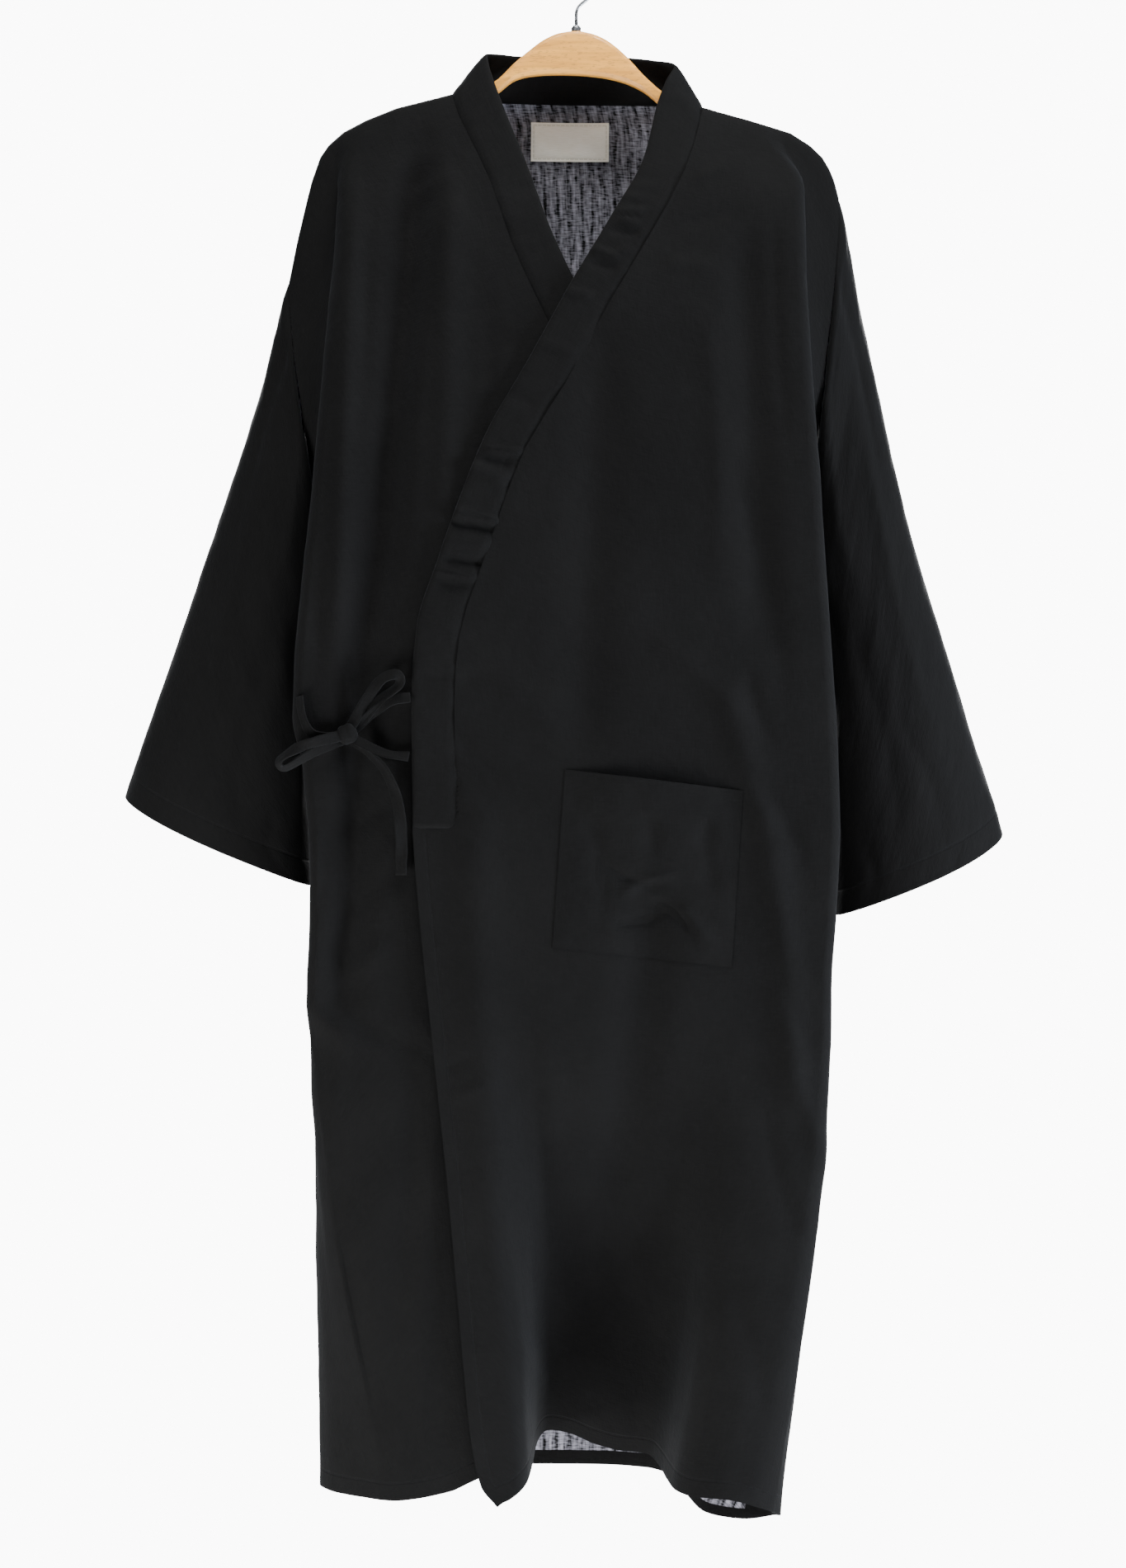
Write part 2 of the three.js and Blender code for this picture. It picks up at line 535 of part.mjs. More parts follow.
// Closed wall from a grid of outer points, thickened to the inner side. grid[i][j] with i across.
function wall(grid, thick, around = false, normalAt = null) {
  const m = grid.length,
    n = grid[0].length;
  const wrap = (i) => (around ? (i + m) % m : clamp(i, 0, m - 1));
  const points = [],
    inner = [];
  for (let i = 0; i < m; i++)
    for (let j = 0; j < n; j++) {
      const across = grid[wrap(i + 1)][j].clone().sub(grid[wrap(i - 1)][j]);
      const along = grid[i][clamp(j + 1, 0, n - 1)].clone().sub(grid[i][clamp(j - 1, 0, n - 1)]);
      let normal = across.cross(along).normalize();
      if (normalAt) normal = normalAt(i, j, normal) ?? normal;
      points.push(grid[i][j]);
      inner.push(grid[i][j].clone().addScaledVector(normal, -thick));
    }
  const count = points.length,
    faces = [];
  const id = (i, j) => wrap(i) * n + j;
  const quad = (a, b, c, d) => faces.push(a, b, c, a, c, d);
  for (let i = 0; i < (around ? m : m - 1); i++)
    for (let j = 0; j < n - 1; j++) {
      quad(id(i, j), id(i + 1, j), id(i + 1, j + 1), id(i, j + 1));
      const [a, b, c, d] = [id(i, j), id(i, j + 1), id(i + 1, j + 1), id(i + 1, j)].map((v) => v + count);
      faces.push(a, b, c, a, c, d);
    }
  for (let i = 0; i < (around ? m : m - 1); i++) {
    quad(id(i + 1, 0), id(i, 0), id(i, 0) + count, id(i + 1, 0) + count);
    quad(id(i, n - 1), id(i + 1, n - 1), id(i + 1, n - 1) + count, id(i, n - 1) + count);
  }
  if (!around)
    for (let j = 0; j < n - 1; j++) {
      quad(id(0, j), id(0, j + 1), id(0, j + 1) + count, id(0, j) + count);
      quad(id(m - 1, j + 1), id(m - 1, j), id(m - 1, j) + count, id(m - 1, j + 1) + count);
    }
  return geometryOf([...points, ...inner], faces);
}

function geometryOf(points, faces) {
  const g = new THREE.BufferGeometry();
  g.setAttribute("position", new THREE.Float32BufferAttribute(points.flatMap((p) => [p.x, p.y, p.z]), 3));
  g.setIndex(faces);
  return g;
}

// Front panels are gridded from the inner edge to the seam, and turned so that the outer face is out.
function panel(point, columns, shares, top, bottom, flip, edgeNormal) {
  const order = flip ? [...columns].reverse() : columns;
  const grid = order.map((u) => shares.map((s) => point(u, lerp(top(u), bottom(u), s))));
  const geometry = wall(grid, CLOTH, false, (i, j, normal) =>
    edgeNormal(order[i], j, normal, -grid[i][j].z),
  );
  return { grid, geometry };
}

// Place on a line of points at a height, along the straight steps between its points.
function onLine(line, down) {
  let i = 0;
  while (i < line.length - 2 && -line[i + 1].z < down) i++;
  const t = clamp((down + line[i].z) / (line[i].z - line[i + 1].z));
  return line[i].clone().lerp(line[i + 1], t);
}
const ridgeUp = (i, j, normal) =>
  j === 0 ? new THREE.Vector3(normal.x, 0, Math.abs(normal.z) + 0.3).normalize() : null;
// At the side seams both panels end square to the seam, so that their walls don't cross.
const seamOut = (side) => new THREE.Vector3(sign(side), 0, 0);

const parts = new THREE.Group();
function add(name, geometry, colour, rough = 0.9) {
  const mesh = new THREE.Mesh(geometry, new THREE.MeshStandardMaterial({ color: colour, roughness: rough }));
  mesh.name = name;
  parts.add(mesh);
}
const BLACK = 0x1b1b1d;

// Body panels
const RIDGE_HALF_GAP = 0.2;
const offRidge = (point, way) => (u, down) => {
  const p = point(u, down);
  p.y += way * RIDGE_HALF_GAP;
  return p;
};
const overShare = (down) => (down - RIDGE.right[0].down) / (OVER_HEM[0].down - RIDGE.right[0].down);
const overRows = rowShares(PANEL_LENGTH, 17, [overShare(COLLAR_END + 1), overShare(COLLAR_END + 2.6)]);
const frontColumns = [
  ...evenly(0, 0.2, 8),
  ...evenly(0.2, 0.38, 4).slice(1),
  ...evenly(0.38, 0.55, 6).slice(1),
  ...evenly(0.55, ZONE_BACK, 7).slice(1),
  ...evenly(ZONE_BACK, 1, 5).slice(1),
];
const over = panel(
  offRidge(overPoint, -1),
  frontColumns,
  overRows,
  (u) => ridgePoint("right", u).down,
  (u) => read(OVER_HEM, "share", u, "down"),
  true,
  (u, j, normal, down) =>
    u === 1 && down > UNDERARM.right ? seamOut("right") : ridgeUp(u, j, normal),
);
add("over_front", over.geometry, BLACK);

const underShare = (down) => (down - RIDGE.left[0].down) / (underHemDown(0) - RIDGE.left[0].down);
const underRows = rowShares(PANEL_LENGTH, 16, [underShare(COLLAR_END + 1), underShare(COLLAR_END + 2.6)]);
const underColumns = [
  ...evenly(0, HIDDEN, 12),
  ...evenly(HIDDEN, ZONE_BACK, 5).slice(1),
  ...evenly(ZONE_BACK, 1, 5).slice(1),
];
const under = panel(
  offRidge(underPoint, -1),
  underColumns,
  underRows,
  (u) => ridgePoint("left", u).down,
  underHemDown,
  false,
  (u, j, normal, down) =>
    u === 1 && down > UNDERARM.left ? seamOut("left") : ridgeUp(u, j, normal),
);
add("under_front", under.geometry, BLACK);

const backColumns = [
  ...evenly(-1, -BACK_CORNER, 3),
  ...evenly(-BACK_CORNER, -BACK_SIDE, 3).slice(1),
  ...evenly(-BACK_SIDE, BACK_SIDE, 16).slice(1),
  ...evenly(BACK_SIDE, BACK_CORNER, 3).slice(1),
  ...evenly(BACK_CORNER, 1, 3).slice(1),
];
const rear = panel(
  offRidge(backPoint, 1),
  backColumns,
  rowShares(PANEL_LENGTH, 16),
  (s) => backRidge(s).down,
  (s) => read(BACK_HEM, "share", s, "down"),
  false,
  (share, j, normal, down) => {
    const side = share < 0 ? "left" : "right";
    if (Math.abs(share) === 1 && down > UNDERARM[side]) return seamOut(side);
    return Math.abs(share) > NECK_SHARE ? ridgeUp(share, j, normal) : null;
  },
);
add("back", rear.geometry, BLACK);

// Sleeves: each row is one section from the shoulder fold (out) to the underarm seam (in).
const SLEEVE = {
  left: [
    { along: 0, outX: -232, outDown: 268, inX: -212, inDown: 441, mid: 4, front: 22, back: 24 },
    { along: 0.12, outX: -242.5, outDown: 315, inX: -214, inDown: 474, mid: 7, front: 23, back: 26 },
    { along: 0.3, outX: -263.5, outDown: 388, inX: -217, inDown: 530, mid: 10, front: 26, back: 30 },
    { along: 0.5, outX: -290.5, outDown: 469, inX: -219, inDown: 590, mid: 12, front: 30, back: 33 },
    { along: 0.7, outX: -318.5, outDown: 551, inX: -219, inDown: 650, mid: 13, front: 34, back: 36 },
    { along: 1, outX: -365.5, outDown: 687, inX: -216, inDown: 759, mid: 14, front: 38, back: 38 },
  ],
  right: [
    { along: 0, outX: 214, outDown: 200, inX: 193, inDown: 437, mid: 4, front: 22, back: 24 },
    { along: 0.12, outX: 223.5, outDown: 256, inX: 197, inDown: 474, mid: 7, front: 23, back: 26 },
    { along: 0.3, outX: 242.5, outDown: 345, inX: 202, inDown: 532, mid: 10, front: 26, back: 30 },
    { along: 0.5, outX: 267.5, outDown: 456, inX: 207, inDown: 598, mid: 12, front: 30, back: 33 },
    { along: 0.7, outX: 298.5, outDown: 561, inX: 211, inDown: 666, mid: 13, front: 34, back: 36 },
    { along: 1, outX: 347.5, outDown: 717, inX: 214, inDown: 783, mid: 14, front: 38, back: 38 },
  ],
};
const CUFF_SAG = { left: 8, right: 10 }; // how far the middle of the cuff hangs below its ends
const ARMHOLE_GAP = { top: 0.8, underarm: 2.6 };
const ARMHOLE_BLEND = 0.3; // share of the sleeve that is shaped by the armhole
const SLEEVE_HALF = 12; // points on the front half of a ring, and on the back half
const SLEEVE_RINGS = [0, 0.04, 0.09, 0.16, 0.25, 0.36, 0.48, 0.6, 0.72, 0.84, 0.93, 1];

function sleevePoint(side, along, turn) {
  const s = sign(side),
    t = (1 - Math.cos(turn)) / 2,
    swell = Math.sin(turn);
  const section = (v) => {
    const row = (column) => read(SLEEVE[side], "along", v, column);
    return new THREE.Vector3(
      lerp(row("outX"), row("inX"), t),
      row("mid") * smooth(v * 4) - swell * (swell > 0 ? row("front") : row("back")),
      -lerp(row("outDown"), row("inDown"), t) - CUFF_SAG[side] * v ** 3 * Math.abs(swell) * (1.3 - 0.9 * t),
    );
  };
  const p = section(along);
  if (along >= ARMHOLE_BLEND) return p;
  // Near the armhole the ring follows the seam edges of the body panels.
  const start = section(0);
  const seam = onLine(swell >= 0 ? ARMHOLE_SEAM[side].front : ARMHOLE_SEAM[side].back, -start.z);
  seam.x += s * lerp(ARMHOLE_GAP.top, ARMHOLE_GAP.underarm, t * t);
  return p.add(seam.sub(start).multiplyScalar(1 - smooth(along / ARMHOLE_BLEND)));
}

const ARMHOLE_SEAM = {
  left: { front: under.grid.at(-1), back: rear.grid[0] },
  right: { front: over.grid[0], back: rear.grid.at(-1) },
};
for (const side of ["left", "right"]) {
  const turns = evenly(0, 2 * Math.PI, 2 * SLEEVE_HALF).slice(0, -1);
  const list = side === "left" ? turns : turns.reverse();
  const grid = list.map((a) => SLEEVE_RINGS.map((v) => sleevePoint(side, v, a)));
  add("sleeve_" + side, wall(grid, CLOTH, true), BLACK);
}

// Depth of a front's outer face at any place, also just past its inner edge.
function faceDepth(kind, x, down) {
  const side = kind === "over" ? "right" : "left";
  const from = innerEdge(kind, down),
    to = sign(side) * (read(SIDE[side], "down", down, "edge") - EDGE_ROUND);
  const u = clamp((x - from) / (to - from)) * ZONE_EDGE;
  const drop = Math.max(0, down - ridgePoint(side, u).down);
  const lift = (kind === "over" ? LAP : 0) * smooth(drop / LAP_BEGIN);
  const fold = folds(FRONT_FOLDS, x, down) * smooth(drop / FOLD_BEGIN);
  return -read(DEPTH, "drop", drop, "front") - lift + fold;
}

const collarRows = placed.map((r) => {
  const seamY = r.seamY ?? faceDepth(r.on, r.seamX, r.seamDown);
  const edgeY = r.edgeY ?? faceDepth(r.on, r.edgeX, r.edgeDown);
  return { ...r, seamY, edgeY };
});
function collarPoint(place, across) {
  const row = (column) => read(collarRows, "place", place, column);
  const x = lerp(row("seamX"), row("edgeX"), across),
    down = lerp(row("seamDown"), row("edgeDown"), across);
  let y = lerp(row("seamY"), row("edgeY"), across);
  const near = collarRows[clamp(Math.round(place), 0, collarRows.length - 1)];
  if (near.on !== "neck" && near.edgeY !== undefined && COLLAR[near.place].edgeY === undefined)
    y -= 0.6 * Math.sin(Math.PI * across);
  return new THREE.Vector3(x, y, -down);
}
add(
  "collar",
  wall(
    evenly(0, COLLAR.length - 1, 2 * (COLLAR.length - 1)).map((place) =>
      evenly(0, 1, 4).map((across) => collarPoint(place, across)),
    ),
    BAND,
  ),
  BLACK,
);

// Solids for joining and cutting
const MERGE = 1e-4;
const FACING = 0.35; // clear space between a panel and what lies on it
function solid(geometry) {
  geometry.deleteAttribute("normal");
  geometry.deleteAttribute("uv");
  const flat = mergeVertices(geometry, MERGE);
  return new Manifold(
    new Mesh({
      numProp: 3,
      vertProperties: new Float32Array(flat.attributes.position.array),
      triVerts: new Uint32Array(flat.index.array),
    }),
  );
}
function geometryFrom(body) {
  const m = body.getMesh();
  const g = new THREE.BufferGeometry();
  g.setAttribute("position", new THREE.Float32BufferAttribute(Array.from(m.vertProperties), 3));
  g.setIndex(Array.from(m.triVerts));
  return g;
}

// Depth of a panel's facets at a place, read from its own grid of points.
function facetDepth(grid, x, down) {
  for (let i = 0; i < grid.length - 1; i++)
    for (let j = 0; j < grid[0].length - 1; j++) {
      const [a, b, c, d] = [grid[i][j], grid[i + 1][j], grid[i + 1][j + 1], grid[i][j + 1]];
      for (const [p, q, r] of [[a, b, c], [a, c, d]]) {
        const area = (q.x - p.x) * (r.z - p.z) - (r.x - p.x) * (q.z - p.z);
        const v = ((x - p.x) * (r.z - p.z) - (r.x - p.x) * (-down - p.z)) / area;
        const w = ((q.x - p.x) * (-down - p.z) - (x - p.x) * (q.z - p.z)) / area;
        if (v >= 0 && w >= 0 && v + w <= 1) return p.y + v * (q.y - p.y) + w * (r.y - p.y);
      }
    }
  return null;
}

// Patch pocket, from the panel's own points moved out, with the mouth standing a little open.
const POCKET = { wall: 1.6, off: 0.8, gape: 10, steps: 11 };
const POCKET_CORNERS = [
  { corner: "top left", x: -8, down: 665 },
  { corner: "top right", x: 133, down: 682 },
  { corner: "bottom right", x: 124, down: 822 },
  { corner: "bottom left", x: -18, down: 806 },
];
function pocketPoint(a, b) {
  const [tl, tr, br, bl] = POCKET_CORNERS;
  const x = lerp(lerp(tl.x, tr.x, a), lerp(bl.x, br.x, a), b),
    down = lerp(lerp(tl.down, tr.down, a), lerp(bl.down, br.down, a), b);
  const open = POCKET.gape * Math.sin(Math.PI * a) ** 1.5 * (1 - b) ** 2.2;
  return new THREE.Vector3(x, facetDepth(over.grid, x, down) - POCKET.wall - POCKET.off - open, -down);
}
const steps = evenly(0, 1, POCKET.steps);
const pocketGrid = [...steps].reverse().map((a) => steps.map((b) => pocketPoint(a, b)));
const pocket = solid(wall(pocketGrid, POCKET.wall));
const overSolid = solid(over.geometry);
add("pocket", geometryFrom(pocket.subtract(overSolid.translate([0, -FACING, 0]))), BLACK);

// Woven label inside the back neck
const LABEL = { width: 65, height: 32, x: -4, down: 150, tilt: 0.042, wall: 1, off: 0.5 };
const labelPoint = (a, b) => {
  const dx = LABEL.width * (a - 0.5),
    dz = LABEL.height * (b - 0.5);
  const x = LABEL.x + dx - dz * LABEL.tilt,
    down = LABEL.down + dz + dx * LABEL.tilt;
  return new THREE.Vector3(x, facetDepth(rear.grid, x, down) - CLOTH - LABEL.off, -down);
};
const labelSteps = { across: evenly(0, 1, 8), down: evenly(0, 1, 4) };
const label = solid(
  wall(labelSteps.across.map((a) => labelSteps.down.map((b) => labelPoint(a, b))), LABEL.wall),
);
add(
  "neck_label",
  geometryFrom(label.subtract(solid(rear.geometry).translate([0, -FACING, 0]))),
  0xe6dfcd,
);

// Ties: flat straps that face the front, along rows of places. off = how far in front of the cloth.
const TIE = { width: 9, thick: 2.4 };
function strap(rows, width = TIE.width) {
  const path = new THREE.CatmullRomCurve3(
    rows.map((r) => new THREE.Vector3(r.x, faceDepth("under", r.x, r.down) - r.off, -r.down)),
  );
  const count = 4 * (rows.length - 1);
  const rings = [];
  for (let k = 0; k <= count; k++) {
    const p = path.getPointAt(k / count),
      t = path.getTangentAt(k / count);
    const across = new THREE.Vector3(0, -1, 0).cross(t).normalize();
    const out = t.clone().cross(across).normalize();
    const w = width / 2,
      h = TIE.thick / 2;
    const section = [
      [w, 0], [w * 0.85, h], [-w * 0.85, h], [-w, 0], [-w * 0.85, -h], [w * 0.85, -h],
    ];
    rings.push(section.map(([u, v]) => p.clone().addScaledVector(across, u).addScaledVector(out, v)));
  }
  return solid(loft(rings));
}

// Closed solid through rings of points, with flat ends. Faces are turned out whichever way it runs.
function loft(rings) {
  const n = rings[0].length,
    points = rings.flat(),
    faces = [];
  for (let k = 0; k < rings.length - 1; k++)
    for (let i = 0; i < n; i++) {
      const a = k * n + i,
        b = k * n + ((i + 1) % n);
      faces.push(a, b, b + n, a, b + n, a + n);
    }
  const last = (rings.length - 1) * n;
  for (let i = 1; i < n - 1; i++) {
    faces.push(0, i + 1, i);
    faces.push(last, last + i, last + i + 1);
  }
  const volume = faces.reduce((sum, _, k) => {
    if (k % 3) return sum;
    const [a, b, c] = [points[faces[k]], points[faces[k + 1]], points[faces[k + 2]]];
    return sum + a.dot(b.clone().cross(c));
  }, 0);
  return geometryOf(points, volume < 0 ? faces.reverse() : faces);
}

const SIDE_TIE = [
  { x: -219, down: 607, off: 3 },
  { x: -217, down: 622, off: 4 },
  { x: -210, down: 636, off: 6 },
  { x: -197, down: 640, off: 9 },
  { x: -183, down: 638, off: 10 },
];
const FRONT_TIE = [
  { x: -130.9, down: 608, off: 8 },
  { x: -145, down: 610, off: 9 },
  { x: -158, down: 618, off: 10 },
  { x: -176, down: 633, off: 11 },
];
const BOW_UPPER_LOOP = [
  { x: -180, down: 634, off: 13 },
  { x: -167, down: 612, off: 16 },
  { x: -154, down: 594, off: 17 },
  { x: -142, down: 590, off: 14 },
  { x: -140, down: 598, off: 10 },
  { x: -156, down: 611, off: 10 },
  { x: -178, down: 636, off: 9 },
];
const BOW_LEFT_LOOP = [
  { x: -181, down: 637, off: 12 },
  { x: -204, down: 641, off: 14 },
  { x: -224, down: 649, off: 12 },
  { x: -235, down: 660, off: 8 },
  { x: -226, down: 666, off: 5 },
  { x: -204, down: 655, off: 8 },
  { x: -181, down: 640, off: 9 },
];
const BOW_LOW_STRAP = [
  { x: -132, down: 655, off: 8 },
  { x: -152, down: 652, off: 9 },
  { x: -180, down: 639, off: 11 },
];
const BOW_TAIL = [
  { x: -180, down: 638, off: 12 },
  { x: -166, down: 650, off: 12 },
  { x: -150, down: 667, off: 11 },
  { x: -141, down: 690, off: 9 },
  { x: -138, down: 720, off: 7 },
  { x: -138, down: 749, off: 6 },
];
const KNOT = { x: -181, down: 637, off: 11, wide: 8, deep: 7, high: 8.5 };
const knotAt = [KNOT.x, faceDepth("under", KNOT.x, KNOT.down) - KNOT.off, -KNOT.down];
const knot = (more) =>
  solid(
    new THREE.SphereGeometry(1, 16, 10)
      .scale(KNOT.wide + more, KNOT.deep + more, KNOT.high + more)
      .translate(...knotAt),
  );
const bow = Manifold.union([
  knot(0),
  strap(BOW_UPPER_LOOP),
  strap(BOW_LEFT_LOOP),
  strap(BOW_LOW_STRAP, 8),
  strap(BOW_TAIL, 10),
]);
const grownBow = Manifold.union([bow, bow.translate([0, -0.4, 0]), bow.translate([0, 0.4, 0]), knot(0.4)]);
const largest = (body) =>
  body.decompose().reduce((best, b) => (b.volume() > best.volume() ? b : best));
add("bow", geometryFrom(bow), BLACK);
add("tie_side", geometryFrom(largest(strap(SIDE_TIE).subtract(grownBow))), BLACK);
add("tie_front", geometryFrom(largest(strap(FRONT_TIE).subtract(grownBow))), BLACK);

// Wooden hanger: sections across its length
const WOOD = [
  { x: -180, top: 149, base: 154, half: 2.4 },
  { x: -177, top: 146.5, base: 156, half: 4.2 },
  { x: -165, top: 140, base: 153, half: 5.4 },
  { x: -145, top: 131.8, base: 145, half: 5.6 },
  { x: -100, top: 122.6, base: 133, half: 4.2 },
  { x: -80, top: 114.5, base: 125.5, half: 5.2 },
  { x: -64, top: 106, base: 117, half: 6.2 },
  { x: -48, top: 91, base: 105, half: 7 },
  { x: -36, top: 81, base: 102, half: 7 },
  { x: -25, top: 73, base: 101, half: 7 },
  { x: -12, top: 67.6, base: 100.7, half: 7 },
  { x: 1, top: 66, base: 101, half: 7 },
  { x: 12, top: 67.8, base: 101.8, half: 7 },
  { x: 22, top: 71.5, base: 103, half: 7 },
  { x: 32, top: 78, base: 105, half: 7 },
  { x: 42, top: 87, base: 108, half: 7 },
  { x: 56, top: 102, base: 115, half: 6.6 },
  { x: 71, top: 115, base: 127, half: 5.8 },
  { x: 100, top: 132.5, base: 142.5, half: 4.4 },
  { x: 143, top: 142, base: 154, half: 5.6 },
  { x: 158, top: 148.3, base: 158, half: 4.6 },
  { x: 167, top: 153, base: 160, half: 3.4 },
  { x: 170, top: 154.5, base: 159, half: 2.2 },
];
const WOOD_SIDES = 14;
const woodRings = WOOD.map((r) =>
  evenly(0, 2 * Math.PI, WOOD_SIDES).slice(0, -1).map((a) => {
    const round = (v) => Math.sign(v) * Math.abs(v) ** 0.75;
    return new THREE.Vector3(
      r.x,
      r.half * round(Math.cos(a)),
      -(r.top + r.base) / 2 + ((r.base - r.top) / 2) * round(Math.sin(a)),
    );
  }),
);
add("hanger_wood", loft(woodRings), 0xd2b281, 0.5);

// Steel hook with its ferrule
const HOOK_WIRE = [
  { x: 1, down: 64 },
  { x: 1, down: 52 },
  { x: 5, down: 44 },
  ...evenly(-0.28, 1.28, 14).map((t) => ({
    x: (HOOK_R + WIRE) * Math.cos(Math.PI * t),
    down: HOOK_R - (HOOK_R + WIRE) * Math.sin(Math.PI * t),
  })),
];
const wirePath = new THREE.CatmullRomCurve3(HOOK_WIRE.map((r) => new THREE.Vector3(r.x, 0, -r.down)));
const wireRings = evenly(0, 1, 44).map((v) => {
  const p = wirePath.getPointAt(v),
    t = wirePath.getTangentAt(v);
  const side = new THREE.Vector3(0, 1, 0),
    other = t.clone().cross(side);
  return evenly(0, 2 * Math.PI, 8).slice(0, -1).map((a) =>
    p.clone().addScaledVector(side, WIRE * Math.cos(a)).addScaledVector(other, WIRE * Math.sin(a)),
  );
});
const FERRULE = { radius: 4.2, height: 4.5, base: 65.6 };
const hook = Manifold.union([
  solid(loft(wireRings)),
  solid(
    new THREE.CylinderGeometry(FERRULE.radius * 0.8, FERRULE.radius, FERRULE.height, 20)
      .rotateX(Math.PI / 2)
      .translate(1, 0, FERRULE.height / 2 - FERRULE.base),
  ),
]);
add("hanger_hook", geometryFrom(hook), 0xb8bcc0, 0.3);

export default parts;
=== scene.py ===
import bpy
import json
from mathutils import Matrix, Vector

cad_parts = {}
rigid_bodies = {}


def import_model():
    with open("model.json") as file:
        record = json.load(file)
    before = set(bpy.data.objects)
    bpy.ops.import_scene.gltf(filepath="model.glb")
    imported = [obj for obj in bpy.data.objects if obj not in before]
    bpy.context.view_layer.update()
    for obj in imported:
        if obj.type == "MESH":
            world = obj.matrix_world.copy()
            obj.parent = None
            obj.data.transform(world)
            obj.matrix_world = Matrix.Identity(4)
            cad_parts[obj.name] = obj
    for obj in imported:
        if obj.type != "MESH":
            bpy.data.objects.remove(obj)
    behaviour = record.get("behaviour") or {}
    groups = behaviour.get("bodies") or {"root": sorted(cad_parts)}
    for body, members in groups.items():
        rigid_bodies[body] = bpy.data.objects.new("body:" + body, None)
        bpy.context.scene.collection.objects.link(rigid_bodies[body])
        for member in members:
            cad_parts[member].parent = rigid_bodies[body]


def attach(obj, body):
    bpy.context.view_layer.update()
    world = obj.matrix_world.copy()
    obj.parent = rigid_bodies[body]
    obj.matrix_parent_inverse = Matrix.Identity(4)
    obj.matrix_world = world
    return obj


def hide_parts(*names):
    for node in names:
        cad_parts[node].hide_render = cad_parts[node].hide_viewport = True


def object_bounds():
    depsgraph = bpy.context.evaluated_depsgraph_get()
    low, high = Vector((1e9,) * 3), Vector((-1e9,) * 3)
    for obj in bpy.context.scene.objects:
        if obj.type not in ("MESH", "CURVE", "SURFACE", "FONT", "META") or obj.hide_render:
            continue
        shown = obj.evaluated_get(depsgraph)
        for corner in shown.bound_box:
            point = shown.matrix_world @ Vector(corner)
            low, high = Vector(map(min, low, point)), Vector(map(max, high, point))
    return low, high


bl_info = {
    "name": "Wrap robe on a hanger",
    "version": (1, 0, 0),
    "blender": (4, 5, 0),
    "location": "3D View > Sidebar > Robe",
    "description": "A black double-gauze wrap robe, tied at the side, on a wooden hanger",
    "category": "Object",
}

import json
import math

import bpy
import numpy as np
from mathutils import Vector

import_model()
CAD_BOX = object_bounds()

# Sizes and tables are in millimetres, as in the part's source: the origin is the inside top of the
# hook, the front faces -Y, and "down" is the distance below the origin.
MM = 0.001
LAP = 7.0  # how far the over front lies in front of the under front
ZONE_EDGE = 0.66  # share of a front's columns up to its folded side edge
ZONE_BACK = 0.8  # share of the columns where the side turns back to the seam
EDGE_ROUND = 9.0
EDGE_DEEP = 12.0
FULL_DEPTH = 34.0  # depth of the hung cloth at which its side folds have their full size
HEM_ZONE = 850.0  # where the deep hem folds begin
HEM_POWER = 1.5
COLLAR_END = 712.0
NECK_DEEP = 26.0
NECK_HALF = 102.0
BAND = 3.0  # thickness of the folded collar band
UNDERLAP = 60.0  # height over which the fronts' edges go on behind the collar's ends
UNDER_BAND = 3.9  # how far in they lie there
BAND_EASE = 3.0  # a front is back in place this far below the band's end
LAP_EASE = 70.0  # drop over which the lap grows to its full size
FRONT_EASE, BACK_EASE = 90.0, 120.0  # drops over which the solids' folds begin
RIDGE_EASE = 45.0  # drop over which a panel leaves the shoulder line
CREASE_EASE = 40.0  # drop over which the creases begin
BACK_NECK_DOWN = 116.3
ROW_STEP = 3.8  # rows of the body's cloth
PANEL_LENGTH = {"over": 1117, "under": 1105, "back": 1120}
EDGE_SHARE = 0.025  # columns of the over front beside its free edge
FAR = 999.0  # distance of places that have no stitched edge near
STITCH, STITCH_STEP = 3.0, 3.8  # length of a stitch, and from one to the next
EDGE_GAP = 4.0  # a free edge's stitches are this much nearer to it than the hem's


def table(columns, *rows):
    """Rows of numbers as named columns."""
    return dict(zip(columns.split(), np.array(rows, float).T))


DEPTH = table(
    "drop front back",
    (0, 0, 0), (1.5, 4.2, 4.2), (4, 6.8, 6.8), (9, 9.4, 9.4), (18, 12.5, 12), (34, 17, 16),
    (60, 24, 22), (95, 32, 29), (135, 39, 35), (180, 45, 40), (260, 52, 46), (400, 58, 52),
    (600, 63, 58), (850, 69, 64), (1150, 78, 74),
)

# Shoulder line from the foot of the collar out to the top of the armhole seam
RIDGE = {
    "left": table(
        "x down",
        (100, 116.7), (145, 128), (170, 138), (188, 147.5), (200, 158), (207, 168), (214, 188),
        (219, 208), (226, 238), (232, 268),
    ),
    "right": table(
        "x down",
        (104, 127.5), (143, 138.3), (175, 148.2), (191, 158.4), (201, 168), (207, 178), (211, 188),
        (214, 200),
    ),
}
RIDGE_SHARE = table("u along", (0, 0), (ZONE_EDGE, 0.34), (ZONE_BACK, 0.47), (1, 1))

